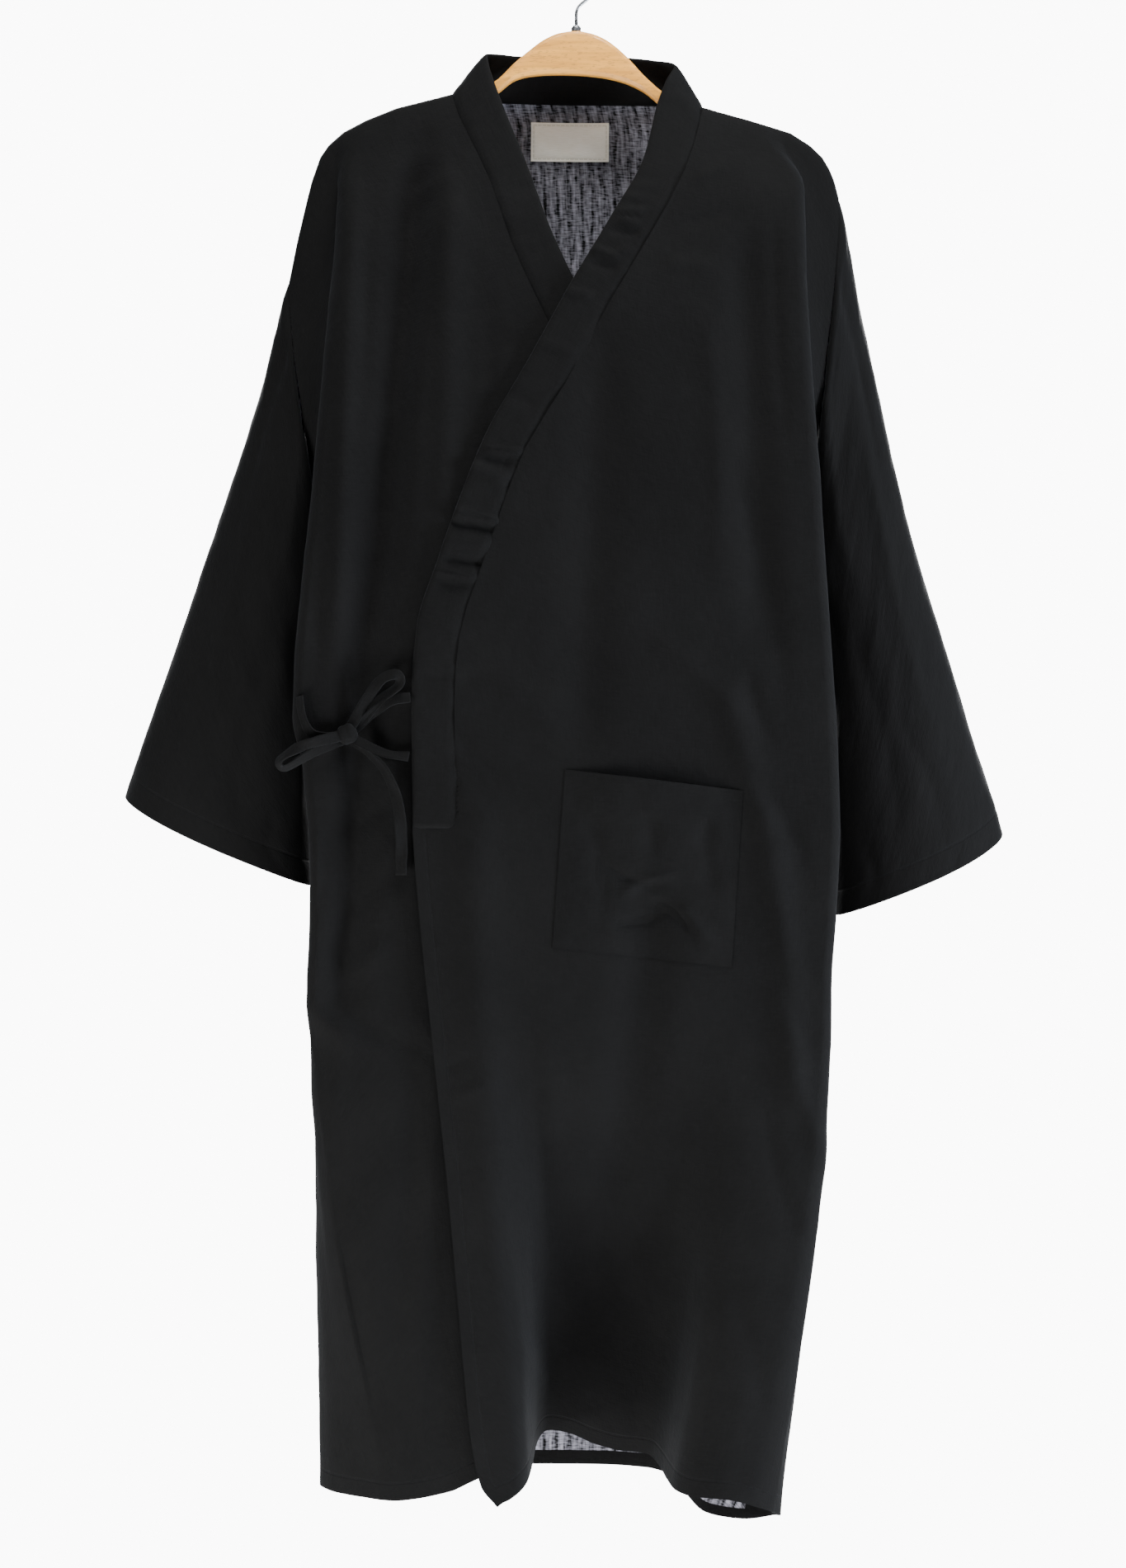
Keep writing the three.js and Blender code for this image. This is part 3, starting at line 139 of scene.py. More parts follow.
# Side of the body: edge is the fold seen from the front, seam the side or armhole seam with its
# depth, and back the rear corner
SIDE = {
    "left": table(
        "down edge seam deep back",
        (150, 190, 232, -14, 186), (246, 194, 232, -20, 196), (313, 200, 229, -24, 206),
        (380, 206, 220, -20, 206), (441, 211, 212, 8, 202), (499, 217, 203, 10, 190),
        (578, 224, 198, 10, 184), (624, 226, 196, 10, 183), (664, 218, 194, 10, 182),
        (758, 212, 194, 8, 184), (841, 214, 202, 5, 192), (930, 218, 207, 3, 197),
        (1080, 220, 210, 1, 201), (1237, 212, 206, 0, 198),
    ),
    "right": table(
        "down edge seam deep back",
        (150, 172, 214, -14, 180), (198, 185, 214, -18, 186), (266, 186, 210, -24, 190),
        (346, 190, 201, -22, 188), (437, 196, 193, 8, 184), (500, 200, 186, 10, 174),
        (545, 203, 183, 10, 170), (644, 209, 184, 10, 172), (710, 211, 187, 10, 175),
        (779, 208, 191, 8, 181), (841, 204, 193, 5, 185), (927, 205, 196, 2, 189),
        (1040, 207, 200, 0, 190), (1171, 204, 198, 0, 188), (1257, 190, 184, 0, 176),
    ),
}
UNDERARM = {"left": 441.0, "right": 437.0}

# Collar band, a row for each section from its end on the over front, round the neck, to its end on
# the under front: the seam edge, then the free edge. The two fronts' sections lie on their panels,
# but for the rows near the neck, whose depths are in NECK_SEAM_DEPTH and NECK_EDGE_DEPTH.
COLLAR = table(
    "seam_x seam_down edge_x edge_down",
    (-94, COLLAR_END, -129, COLLAR_END), (-96, 613, -130, 611), (-92, 559, -126, 552),
    (-77, 511, -110, 500), (-58, 456, -90, 444), (-40, 410, -70, 395), (-7, 356, -38, 339),
    (28, 291, -2, 273), (57, 242, 28, 222), (88, 184, 55, 172), (99, 150, 67, 125),
    (102, 136, 74, 107), (104, 127.5, 82, 92), (92, 122, 67, 87.5), (60, 118, 44, 84.3),
    (0, 116.3, 0, 82), (-58, 116, -44, 83), (-88, 116, -62, 82), (-100, 116.7, -72, 83),
    (-98, 124, -70, 94), (-94, 136, -66, 107), (-86, 153, -58, 129), (-68, 192, -38, 179),
    (-52, 240, -21, 227), (-32, 285, -1, 272), (-5, 341, 25, 328), (24, 407, 54, 394),
    (49, 473, 81, 460), (67, 536, 100, 526), (78, 584, 112, 578), (82, 619, 116, 618),
    (83, COLLAR_END, 117, COLLAR_END),
)
COLLAR["place"] = np.arange(len(COLLAR["seam_x"]), dtype=float)
FOOT_OVER, FOOT_UNDER = 12, 18  # rows where the collar leaves the over front and meets the under
NECK_SEAM_DEPTH = {12: 0, 13: 12, 14: 21, 15: 26, 16: 21, 17: 12, 18: 0}
NECK_EDGE_DEPTH = dict(zip(range(10, 22), (-13, -9, 2, 9, 14, 16, 14, 10, 2, -7, -11, -16)))

OVER_FREE = table(
    "down x",
    (COLLAR_END + 2.6, -129), (743, -127), (808, -121), (873, -114), (938, -107), (1003, -100),
    (1068, -94), (1134, -88), (1190, -82), (1227, -74), (1243, -61),
)
UNDER_FREE = table("down x", (COLLAR_END + 2.6, 117), (HEM_ZONE, 100))

# Plan of each hem along its panel
OVER_HEM = table(
    "share x y down",
    (0, -61, -105, 1243), (0.04, -47, -103, 1234), (0.08, -38, -90, 1226), (0.11, -34, -52, 1219),
    (0.14, -31, -8, 1211), (0.17, -23, 24, 1206), (0.23, -5, 35, 1210), (0.3, 16, 37, 1219),
    (0.37, 42, 36, 1225), (0.42, 60, 27, 1226), (0.45, 69, 5, 1232), (0.48, 74, -28, 1236),
    (0.51, 79, -58, 1238), (0.55, 92, -76, 1240), (0.61, 117, -84, 1241), (0.68, 138, -81, 1246),
    (0.8, 158, -66, 1255), (0.9, 164, -52, 1260), (1, 162, -40, 1262),
)
UNDER_HEM = table(
    "share x y down",
    (0, -60, -88, 1222), (0.12, -86, -86, 1232), (0.25, -106, -87, 1236), (0.38, -125, -89, 1239),
    (0.5, -144, -88, 1241), (0.64, -172, -76, 1240), (0.78, -196, -56, 1239),
    (0.9, -205, -34, 1238), (1, -201, -8, 1238),
)
BACK_HEM = table(
    "share x y down",
    (-1, -201, -8, 1238), (-0.9, -204, 20, 1239), (-0.78, -190, 50, 1240), (-0.5, -125, 70, 1241),
    (-0.2, -50, 73, 1242), (0.1, 15, 76, 1243), (0.35, 60, 72, 1245), (0.5, 84, 54, 1250),
    (0.62, 94, 16, 1258), (0.74, 108, -14, 1266), (0.86, 136, -26, 1268), (0.95, 157, -28, 1265),
    (1, 162, -40, 1262),
)
UNDER_HEM_DOWN = 1238.0
HIDDEN = 0.6  # share of the under front's columns that the over front hides
HIDDEN_REACH = (0.456, 0.4)
UNDER_HIDDEN_HEM = table("share down", (0, 1180), (0.35, 1180), (0.52, 1194), (HIDDEN, 1222))
BACK_HEM_TURN = 8.0
NECK_SHARE = 0.4  # half the neck's share of the back panel
BACK_SIDE = 0.74  # share of the back where its rear corner begins
BACK_CORNER = 0.86  # and ends
BACK_ROUND = 14.0

# Folds that the solids have too: a soft trough (deep above 0) or ridge along a line
FOLD_COLUMNS = "x1 down1 x2 down2 half deep"
FRONT_FOLDS = table(
    FOLD_COLUMNS,
    (-126, 170, -147, 395, 15, 12), (-147, 395, -168, 600, 16, 15), (-168, 600, -186, 860, 15, 13),
    (-100, 190, -104, 480, 14, -5), (-178, 210, -190, 560, 11, -5), (119, 600, 152, 709, 13, -6),
    (152, 709, 178, 925, 13, -7), (136, 240, 148, 560, 16, 6), (60, 760, 36, 1010, 22, 8),
    (-80, 700, -70, 1100, 18, -6), (20, 330, 6, 640, 20, 5),
)
BACK_FOLDS = table(
    FOLD_COLUMNS,
    (-118, 190, -128, 1180, 18, -8), (108, 200, 120, 960, 16, -9), (-40, 330, -56, 1220, 20, -6),
    (40, 420, 30, 1220, 18, 7), (150, 620, 150, 1060, 14, -5),
)

# Creases of the cloth, finer than the solids' folds: bow is how far the middle of the line
# bends aside
CREASE_COLUMNS = "x1 down1 x2 down2 bow half deep"
OVER_CREASES = table(
    CREASE_COLUMNS,
    (96, 190, 150, 176, 3, 5, -1.6), (84, 226, 132, 214, -3, 6, 1.4),
    (70, 262, 120, 268, 4, 6, -1.3), (104, 300, 112, 520, 6, 9, -2.0),
    (160, 220, 172, 430, -4, 7, 2.0), (126, 420, 168, 640, 8, 10, 2.2),
    (30, 470, 84, 462, -4, 6, 1.3), (12, 530, 70, 545, 4, 8, -1.4), (-20, 560, 44, 590, -5, 9, 1.6),
    (60, 560, 118, 612, 5, 9, -1.8), (-60, 600, -10, 640, 4, 8, -1.5),
    (-104, 600, -60, 590, 3, 5, 1.4), (-100, 640, -52, 668, -3, 6, 1.6),
    (-96, 680, -64, 720, 3, 6, -1.5), (138, 585, 160, 650, -5, 7, 2.2),
    (132, 660, 186, 760, 8, 8, 2.6), (150, 760, 196, 905, -8, 9, 2.8),
    (168, 900, 200, 1010, 6, 8, -2.4), (150, 930, 182, 1050, -5, 9, 2.2),
    (-104, 905, -76, 893, 2, 4, 2.2), (-100, 925, -62, 908, -2, 5, -1.6),
    (-70, 940, -48, 1120, 6, 12, 2.0), (-20, 850, -6, 1010, -6, 12, -2.0),
    (30, 860, 96, 905, 5, 10, -1.6), (90, 930, 104, 1090, 6, 12, -2.4),
    (16, 1030, 60, 1120, -5, 12, 2.2), (120, 1060, 150, 1190, 5, 10, 2.0),
    (-50, 1110, -20, 1190, 4, 8, -1.6),
)
UNDER_CREASES = table(
    CREASE_COLUMNS,
    (-112, 150, -168, 168, 4, 6, 1.5), (-92, 186, -140, 214, -4, 7, -1.4),
    (-60, 290, -112, 300, 3, 6, 1.3), (-52, 330, -86, 372, 4, 6, -1.6),
    (-70, 300, -78, 470, 6, 8, 1.8), (-118, 300, -124, 520, -6, 8, -2.0),
    (-168, 250, -178, 430, 5, 8, 2.0), (-196, 480, -206, 600, -3, 7, 1.8),
    (-140, 520, -176, 590, 5, 7, -1.8), (-148, 690, -190, 716, 4, 7, 2.0),
    (-130, 740, -186, 800, -7, 9, 2.4), (-150, 800, -204, 842, 6, 8, -2.6),
    (-196, 700, -214, 812, 4, 7, 2.2), (-176, 850, -196, 1000, -5, 11, -2.4),
    (-130, 880, -150, 1120, 8, 12, 2.4), (-110, 950, -120, 1190, -6, 10, -2.0),
    (-186, 1030, -170, 1200, 5, 11, 2.2),
)
BACK_CREASES = table(
    CREASE_COLUMNS,
    (-150, 170, -90, 210, 6, 8, 2.0), (150, 176, 90, 220, -6, 8, 2.0),
    (-170, 260, -150, 430, 6, 9, -2.2), (168, 240, 146, 430, -6, 9, -2.2),
    (-70, 240, 10, 262, 5, 8, 1.5), (20, 300, 84, 330, -5, 9, 1.7),
    (-100, 450, -82, 680, 8, 11, 2.4), (76, 480, 90, 700, -8, 11, 2.4),
    (-20, 520, 0, 800, 7, 12, -2.2), (-176, 560, -150, 700, 7, 9, 2.6),
    (172, 560, 150, 720, -7, 9, 2.6), (-160, 760, -120, 860, -6, 9, 2.2),
    (60, 780, 128, 840, 6, 10, 2.0), (-90, 860, -80, 1150, 8, 13, 2.4),
    (70, 880, 60, 1180, -8, 13, 2.6), (-10, 960, -20, 1200, 5, 12, 2.2),
    (-170, 900, -160, 1140, 6, 12, -2.4),
)
# Creases of a sleeve, by its length from the armhole (0) to the cuff (1) and the turn round it in
# half turns: 0 to 1 is the front from the shoulder fold to the underarm, and 1 to 2 the back
SLEEVE_CREASES = table(
    "along1 turn1 along2 turn2 half deep",
    (0.02, 0.30, 0.42, 0.22, 0.05, 2.2), (0.05, 0.62, 0.50, 0.50, 0.06, -2.4),
    (0.10, 0.85, 0.62, 0.74, 0.05, 2.4), (0.30, 0.36, 0.86, 0.30, 0.05, -1.8),
    (0.48, 0.60, 0.98, 0.56, 0.06, 1.8), (0.58, 0.84, 0.92, 0.80, 0.05, -1.8),
    (0.70, 0.44, 0.97, 0.40, 0.035, 1.3), (0.88, 0.66, 0.99, 0.74, 0.03, 1.2),
    (0.04, 1.30, 0.52, 1.42, 0.06, -2.4), (0.08, 1.64, 0.60, 1.72, 0.06, 2.4),
    (0.36, 1.50, 0.95, 1.56, 0.06, 2.2), (0.50, 1.24, 0.92, 1.30, 0.05, -1.8),
)
# Crosswise wrinkles of the collar band on the over front, which the body pulls there, by their
# distance down at the band's middle: slope is their fall over the band's width towards its seam,
# and start and end say which part of the width they cross from the seam (0) to the free edge (1)
BAND_WRINKLES = table(
    "down slope half deep start end",
    (207, 6, 2.0, -1.0, 0.3, 1.2), (218, 3, 2.0, -1.9, 0.25, 1.05), (227, 9, 2.0, -1.8, 0.2, 0.9),
    (235, 6, 3.0, 1.4, 0.1, 1.0), (249, 4, 1.8, -1.2, 0.05, 0.6), (254, 12, 2.4, -2.0, 0.2, 1.1),
    (263, 10, 3.0, 1.2, 0.1, 1.0), (287, 9, 2.2, -1.7, 0.3, 1.2), (330, 12, 4.0, -0.9, 0.0, 1.2),
    (372, 12, 5.0, 1.0, 0.2, 1.2), (411, 4, 2.0, -2.0, -0.1, 1.0), (420, 6, 4.0, 1.5, 0.0, 1.2),
    (432, 14, 6.0, -1.8, 0.0, 1.3), (464, 8, 3.2, -2.4, -0.2, 1.2), (472, 6, 2.6, 2.2, -0.1, 1.2),
    (485, 3, 6.0, -2.0, -0.2, 1.2), (500, 5, 2.8, 2.4, -0.2, 1.0), (510, 7, 1.9, -2.2, -0.1, 1.2),
    (519, 6, 4.0, 1.0, 0.0, 1.0), (548, 8, 5.0, -0.8, 0.0, 0.9), (592, 4, 4.0, 0.9, 0.0, 1.0),
    (640, 8, 5.0, -0.8, 0.2, 1.2),
)

# Soft crumples of each piece and finer ones on them: height, width and seed
CRUMPLES = {
    "over": ((0.55, 34, 11), (0.25, 13, 12)),
    "under": ((0.55, 32, 21), (0.25, 12, 22)),
    "back": ((0.6, 36, 31), (0.25, 14, 32)),
    "sleeve": ((0.6, 30, 41), (0.25, 12, 42)),
}

SLEEVE = {
    "left": table(
        "along out_x out_down in_x in_down mid front back",
        (0, -232, 268, -212, 441, 4, 22, 24), (0.12, -242.5, 315, -206, 474, 9, 23, 26),
        (0.3, -263.5, 388, -208, 530, 12, 26, 30), (0.5, -290.5, 469, -219, 590, 12, 30, 33),
        (0.7, -318.5, 551, -219, 650, 13, 34, 36), (1, -365.5, 687, -216, 759, 14, 38, 38),
    ),
    "right": table(
        "along out_x out_down in_x in_down mid front back",
        (0, 214, 200, 193, 437, 4, 22, 24), (0.12, 223.5, 256, 190, 474, 9, 23, 26),
        (0.3, 242.5, 345, 192, 532, 12, 26, 30), (0.5, 267.5, 456, 207, 598, 12, 30, 33),
        (0.7, 298.5, 561, 211, 666, 13, 34, 36), (1, 347.5, 717, 214, 783, 14, 38, 38),
    ),
}
CUFF_SAG = {"left": 8.0, "right": 10.0}
HALF_ROUND = 170.0  # flat width of a sleeve, about half way round it
SLEEVE_WALL = 2.0  # the sections give the inner face of the solids' sleeves

# Corners of the patch pocket: top left, top right, bottom right, bottom left
POCKET_CORNERS = ((-8, 665), (133, 682), (124, 822), (-18, 806))
POCKET_GAPE = 10.0
POCKET_OFF = 0.7  # outer face of the pocket from that of the front
POCKET_CREASES = table(
    CREASE_COLUMNS,
    (24, 742, 70, 756, -5, 5, 2.2), (36, 764, 84, 748, 4, 5, -2.0), (62, 770, 96, 800, 4, 5, 2.4),
    (30, 786, 72, 778, -3, 5, 1.8), (84, 772, 112, 804, -3, 6, -2.0), (10, 700, 22, 790, 4, 8, 1.6),
    (104, 700, 112, 770, -4, 8, 1.4), (56, 700, 60, 740, 3, 9, 1.6),
)
MOUTH_STITCH, MOUTH_GAP = 20.0, 3.2  # seam of the pocket's mouth, and where its stitches run
LABEL = {"width": 64, "height": 31.5, "x": -4, "down": 150, "tilt": 0.008, "wall": 0.8, "off": 0.9}

# Ties: rows of places on the under front, and how far in front of its cloth they are
TIE_WIDTH, TIE_THICK = 9.0, 2.4
STRAP_ROLL = 1.0  # radians that a tie turns about its length, at the most
STRAP_COLUMNS = "x down off"
SIDE_TIE = table(
    STRAP_COLUMNS, (-219, 607, 3), (-217, 622, 4), (-210, 636, 6), (-197, 640, 9), (-183, 638, 10)
)
FRONT_TIE = table(STRAP_COLUMNS, (-130.9, 608, 8), (-145, 610, 9), (-158, 618, 10), (-176, 633, 11))
BOW_UPPER_LOOP = table(
    STRAP_COLUMNS,
    (-180, 634, 13), (-167, 612, 16), (-154, 594, 17), (-142, 590, 14), (-140, 598, 10),
    (-156, 611, 10), (-178, 636, 9),
)
BOW_LEFT_LOOP = table(
    STRAP_COLUMNS,
    (-181, 637, 12), (-204, 643, 14), (-222, 649, 13), (-235, 658, 9), (-230, 664, 5),
    (-206, 651, 8), (-181, 640, 9),
)
BOW_LOW_STRAP = table(STRAP_COLUMNS, (-132, 655, 8), (-152, 652, 9), (-180, 639, 11))
BOW_TAIL = table(
    STRAP_COLUMNS,
    (-180, 638, 12), (-166, 650, 12), (-150, 667, 11), (-141, 690, 9), (-138, 720, 7),
    (-138, 749, 6),
)
KNOT = {"x": -181.0, "down": 637.0, "off": 11.0, "wide": 8.0, "deep": 7.0, "high": 8.5, "tilt": 0.35}

# Wooden hanger: sections across its length, with half its thickness
WOOD = table(
    "x top base half",
    (-180, 149, 154, 2.4), (-177, 146.5, 156, 4.2), (-165, 140, 153, 5.4), (-145, 131.8, 145, 5.6),
    (-100, 122.6, 133, 4.2), (-80, 114.5, 125.5, 5.2), (-64, 106, 117, 6.2), (-48, 91, 105, 7),
    (-36, 81, 102, 7), (-25, 73, 101, 7), (-12, 67.6, 100.7, 7), (1, 66, 101, 7),
    (12, 67.8, 101.8, 7), (22, 71.5, 103, 7), (32, 78, 105, 7), (42, 87, 108, 7),
    (56, 102, 115, 6.6), (71, 115, 127, 5.8), (100, 132.5, 142.5, 4.4), (143, 142, 154, 5.6),
    (158, 148.3, 158, 4.6), (167, 153, 160, 3.4), (170, 154.5, 159, 2.2),
)
WOOD_SQUARE = 0.3  # how square the sections are, from 0 for a board to 1 for a round bar
WOOD_CHAMFER = 3.0

# Hook: a straight length up from the foot, a bend aside, a straight length, then the round hook
HOOK = {
    "x": 1,
    "foot": -64,
    "rise": 12,
    "bend": 10.72,
    "lean": math.radians(50.4),
    "straight": 11.37,
    "centre": -20,
    "turn": math.radians(280.8),
}
TIP_STEP = (0.35, -0.45)  # across and up, for each of the steps that round the cut end
TIP_SHRINK = (0.92, 0.72, 0.4)
FERRULE_FOOT, FERRULE_RADIUS = -65.6, 4.2
FERRULE_STEPS = ((2.6, 1.0), (0.4, 0.93), (0.0, 0.86), (0.3, 1.0), (1.0, 0.9), (0.2, 0.8))

# Camera, straight on: place in metres, sensor and lens in millimetres
CAMERA = {"place": (-0.0097, -2.9, -0.6767), "sensor": 36, "lens": 82.0}
FLOOR_RADIUS, FLOOR_GAP, DOME_RADIUS = 1.3, 0.35, 6  # metres
DOME_LIGHT, WORLD_LIGHT = 10.0, 0.18

# Area lights, aimed at the middle of the robe: place and size in metres, power in watts
LIGHT_TARGET = (0, 0, -0.65)
LIGHTS = (
    ("upper_left", (-1.3, -2.3, 1.5), 0.9, 10, "#ffffff"),
    ("right", (1.7, -0.65, -1.0), 0.8, 94, "#f0f5ff"),
    ("top", (0.15, -0.52, 1.2), 0.7, 60, "#ffffff"),
    ("left", (-0.9, -0.7, -1.45), 0.7, 37, "#ffffff"),
    ("low", (0.2, -1.5, -1.5), 0.5, 8, "#ffffff"),
    ("behind_left", (-1.0, 1.9, 0.7), 0.9, 125, "#ffffff"),
    ("behind_right", (1.0, 1.9, 0.2), 0.9, 125, "#ffffff"),
)


def mix(a, b, t):
    """Goes from a to b as t goes from 0 to 1."""
    return a + (b - a) * t


def smooth(t):
    """A soft step from 0 to 1."""
    c = np.clip(t, 0, 1)
    return c * c * (3 - 2 * c)


def read(rows, by, place, column):
    """Reads a column at places between its rows, along a curve that doesn't overshoot."""
    x, y = rows[by], rows[column]
    if x[0] > x[-1]:
        x, y = x[::-1], y[::-1]
    step = np.diff(x)
    slope = np.diff(y) / step
    a, b = slope[:-1], slope[1:]
    even = a * b > 0
    inner = np.where(even, 2 * a * b / np.where(even, a + b, 1), 0)
    bend = np.concatenate([slope[:1], inner, slope[-1:]])
    p = np.clip(place, x[0], x[-1])
    i = np.clip(np.searchsorted(x, p, side="right") - 1, 0, len(step) - 1)
    t = (p - x[i]) / step[i]
    t2, t3 = t * t, t * t * t
    return (
        y[i] * (2 * t3 - 3 * t2 + 1)
        + bend[i] * step[i] * (t3 - 2 * t2 + t)
        + y[i + 1] * (3 * t2 - 2 * t3)
        + bend[i + 1] * step[i] * (t3 - t2)
    )


def crumple(u, v, cell, seed):
    """Smooth random heights from -1 to 1, with bumps about one cell wide."""
    size = 64
    values = np.random.default_rng(seed).uniform(-1, 1, (size, size))
    a, b = u / cell, v / cell
    i, j = np.floor(a).astype(int), np.floor(b).astype(int)
    s, t = smooth(a - i), smooth(b - j)
    corner = lambda di, dj: values[(i + di) % size, (j + dj) % size]
    return mix(mix(corner(0, 0), corner(1, 0), s), mix(corner(0, 1), corner(1, 1), s), t)


def crumples(piece, u, v):
    """Depth of a piece's crumples."""
    return sum(high * crumple(u, v, cell, seed) for high, cell, seed in CRUMPLES[piece])


def rows_of(rows):
    """Each row of a table as a dictionary."""
    return [dict(zip(rows, values)) for values in zip(*rows.values())]


def folds(rows, x, down):
    """Depth of the solids' folds at a place."""
    total = 0
    for f in rows_of(rows):
        t = (down - f["down1"]) / (f["down2"] - f["down1"])
        ends = smooth(t * 4 + 0.5) * smooth((1 - t) * 4 + 0.5)
        off = (x - mix(f["x1"], f["x2"], np.clip(t, 0, 1))) / f["half"]
        total = total + f["deep"] * ends * np.exp(-off * off)
    return total


def creases(rows, x, down):
    """Depth of the finer creases at a place, each strongest before its middle."""
    total = np.zeros(np.broadcast(x, down).shape)
    for f in rows_of(rows):
        run, fall = f["x2"] - f["x1"], f["down2"] - f["down1"]
        length = math.hypot(run, fall)
        t = ((x - f["x1"]) * run + (down - f["down1"]) * fall) / length**2
        side = ((x - f["x1"]) * fall - (down - f["down1"]) * run) / length
        side = side - f["bow"] * 4 * t * (1 - t)
        ends = smooth(t * 3.2 + 0.3) * smooth((1 - t) * 1.9 + 0.2)
        total += f["deep"] * ends * np.exp(-np.abs(side / f["half"]) ** 1.7)
    return total


def ridge_point(side, u):
    """Place on the shoulder line."""
    rows = RIDGE[side]
    run = np.concatenate([[0], np.cumsum(np.hypot(np.diff(rows["x"]), np.diff(rows["down"])))])
    at = run[-1] * read(RIDGE_SHARE, "u", u, "along")
    return np.interp(at, run, rows["x"]), np.interp(at, run, rows["down"])


def sign(side):
    """-1 on the left and 1 on the right."""
    return -1.0 if side == "left" else 1.0


def seam_line(start, end):
    """Seam edge of the collar between two of its rows, in half rows, from the neck down."""
    place = np.linspace(start, end, 2 * abs(end - start) + 1)
    return read(COLLAR, "place", place, "seam_down"), read(COLLAR, "place", place, "seam_x")


SEAM = {"over": seam_line(FOOT_OVER, 0), "under": seam_line(FOOT_UNDER, len(COLLAR["place"]) - 1)}
FREE = {"over": OVER_FREE, "under": UNDER_FREE}


def inner_edge(kind, down):
    """Across place of a front's inner edge: the collar seam, then the free edge below it."""
    seam_down, seam_x = SEAM[kind]
    seam = np.interp(down, seam_down, seam_x)
    edge = read(FREE[kind], "down", down, "x")
    return mix(seam, edge, smooth((down - COLLAR_END + UNDERLAP) / UNDERLAP))


def under_band(kind, x, down):
    """How far a front is moved in where it goes on behind the end of the collar band."""
    seam_down, seam_x = SEAM[kind]
    past = sign("right" if kind == "over" else "left") * (np.interp(down, seam_down, seam_x) - x)
    return UNDER_BAND * smooth(past / 2.5) * smooth((COLLAR_END + BAND_EASE - down) / 16)


def front_upper(kind, u, down):
    """Outer face of a front panel above the hem folds, as across and depth places."""
    side = "right" if kind == "over" else "left"
    s, lap = sign(side), LAP if kind == "over" else 0
    ridge_x, ridge_down = ridge_point(side, u)
    drop = np.maximum(0, down - ridge_down)
    main_drop = np.maximum(0.01, down - ridge_point(side, ZONE_EDGE)[1])
    lift = lambda d: lap * smooth(d / LAP_EASE)
    row = lambda column: read(SIDE[side], "down", down, column)
    depth = lambda d: read(DEPTH, "drop", d, "front")
    edge, seam_x = row("edge"), s * row("seam")
    x1 = mix(inner_edge(kind, down), s * (edge - EDGE_ROUND), u / ZONE_EDGE)
    y1 = -depth(drop) - lift(drop) + folds(FRONT_FOLDS, x1, down) * smooth(drop / FRONT_EASE)
    full = -depth(main_drop) - lift(main_drop)
    size = np.minimum(1, -full / FULL_DEPTH)
    part = np.clip(depth(drop) / depth(main_drop), 0, 1)
    turn = np.clip((u - ZONE_EDGE) / (ZONE_BACK - ZONE_EDGE), 0, 1) * math.pi / 2
    x2 = s * (edge - EDGE_ROUND + EDGE_ROUND * np.sin(turn))
    y2 = full + EDGE_DEEP * size * (1 - np.cos(turn))
    y2 = (y2 + folds(FRONT_FOLDS, x2, down) * smooth(drop / FRONT_EASE)) * part
    q = np.clip((u - ZONE_BACK) / (1 - ZONE_BACK), 0, 1)
    fold = folds(FRONT_FOLDS, s * edge, down) * smooth(main_drop / FRONT_EASE)
    corner = full + EDGE_DEEP * size + fold
    deep = row("deep") * size
    mid_y = np.minimum(deep - 3, mix(corner, deep, 0.6))
    x3 = (1 - q) ** 2 * s * edge + 2 * q * (1 - q) * s * (edge - 7) + q * q * seam_x
    y3 = ((1 - q) ** 2 * corner + 2 * q * (1 - q) * mid_y + q * q * deep) * part
    x = np.where(u <= ZONE_EDGE, x1, np.where(u <= ZONE_BACK, x2, x3))
    y = np.where(u <= ZONE_EDGE, y1, np.where(u <= ZONE_BACK, y2, y3))
    near = mix(x, s * ridge_x, smooth(u / 0.12))
    return np.where(u > 0, mix(near, x, smooth(drop / RIDGE_EASE)), x), y


def hem_share(down, hem):
    """How far a place has gone over to the plan of its hem."""
    return np.clip((down - HEM_ZONE) / (hem - HEM_ZONE), 0, 1) ** HEM_POWER


def points(x, y, down):
    """Points from their across, depth and down places."""
    return np.stack(np.broadcast_arrays(x, y, -down), -1).astype(float)


def over_point(u, down):
    """Outer face of the over front."""
    x, y = front_upper("over", u, down)
    k = hem_share(down, read(OVER_HEM, "share", u, "down"))
    hem = lambda column: read(OVER_HEM, "share", u, column)
    # The free edge keeps its own line, which the next columns join
    free_x = inner_edge("over", down)
    shift = (free_x - mix(free_x, OVER_HEM["x"][0], k)) * np.clip(1 - u / EDGE_SHARE, 0, 1)
    return points(mix(x, hem("x"), k) + shift, mix(y, hem("y"), k), down)


def behind_over(u, down):
    """Where the over front lies, moved in behind it by the lap."""
    e = 0.004
    a, b = over_point(np.maximum(0.002, u - e), down), over_point(u + e, down)
    along = (b - a) / np.linalg.norm(b - a, axis=-1, keepdims=True)
    p = over_point(np.maximum(u, 0), down)
    return p + LAP * np.stack([-along[..., 1], along[..., 0], 0 * along[..., 0]], -1)


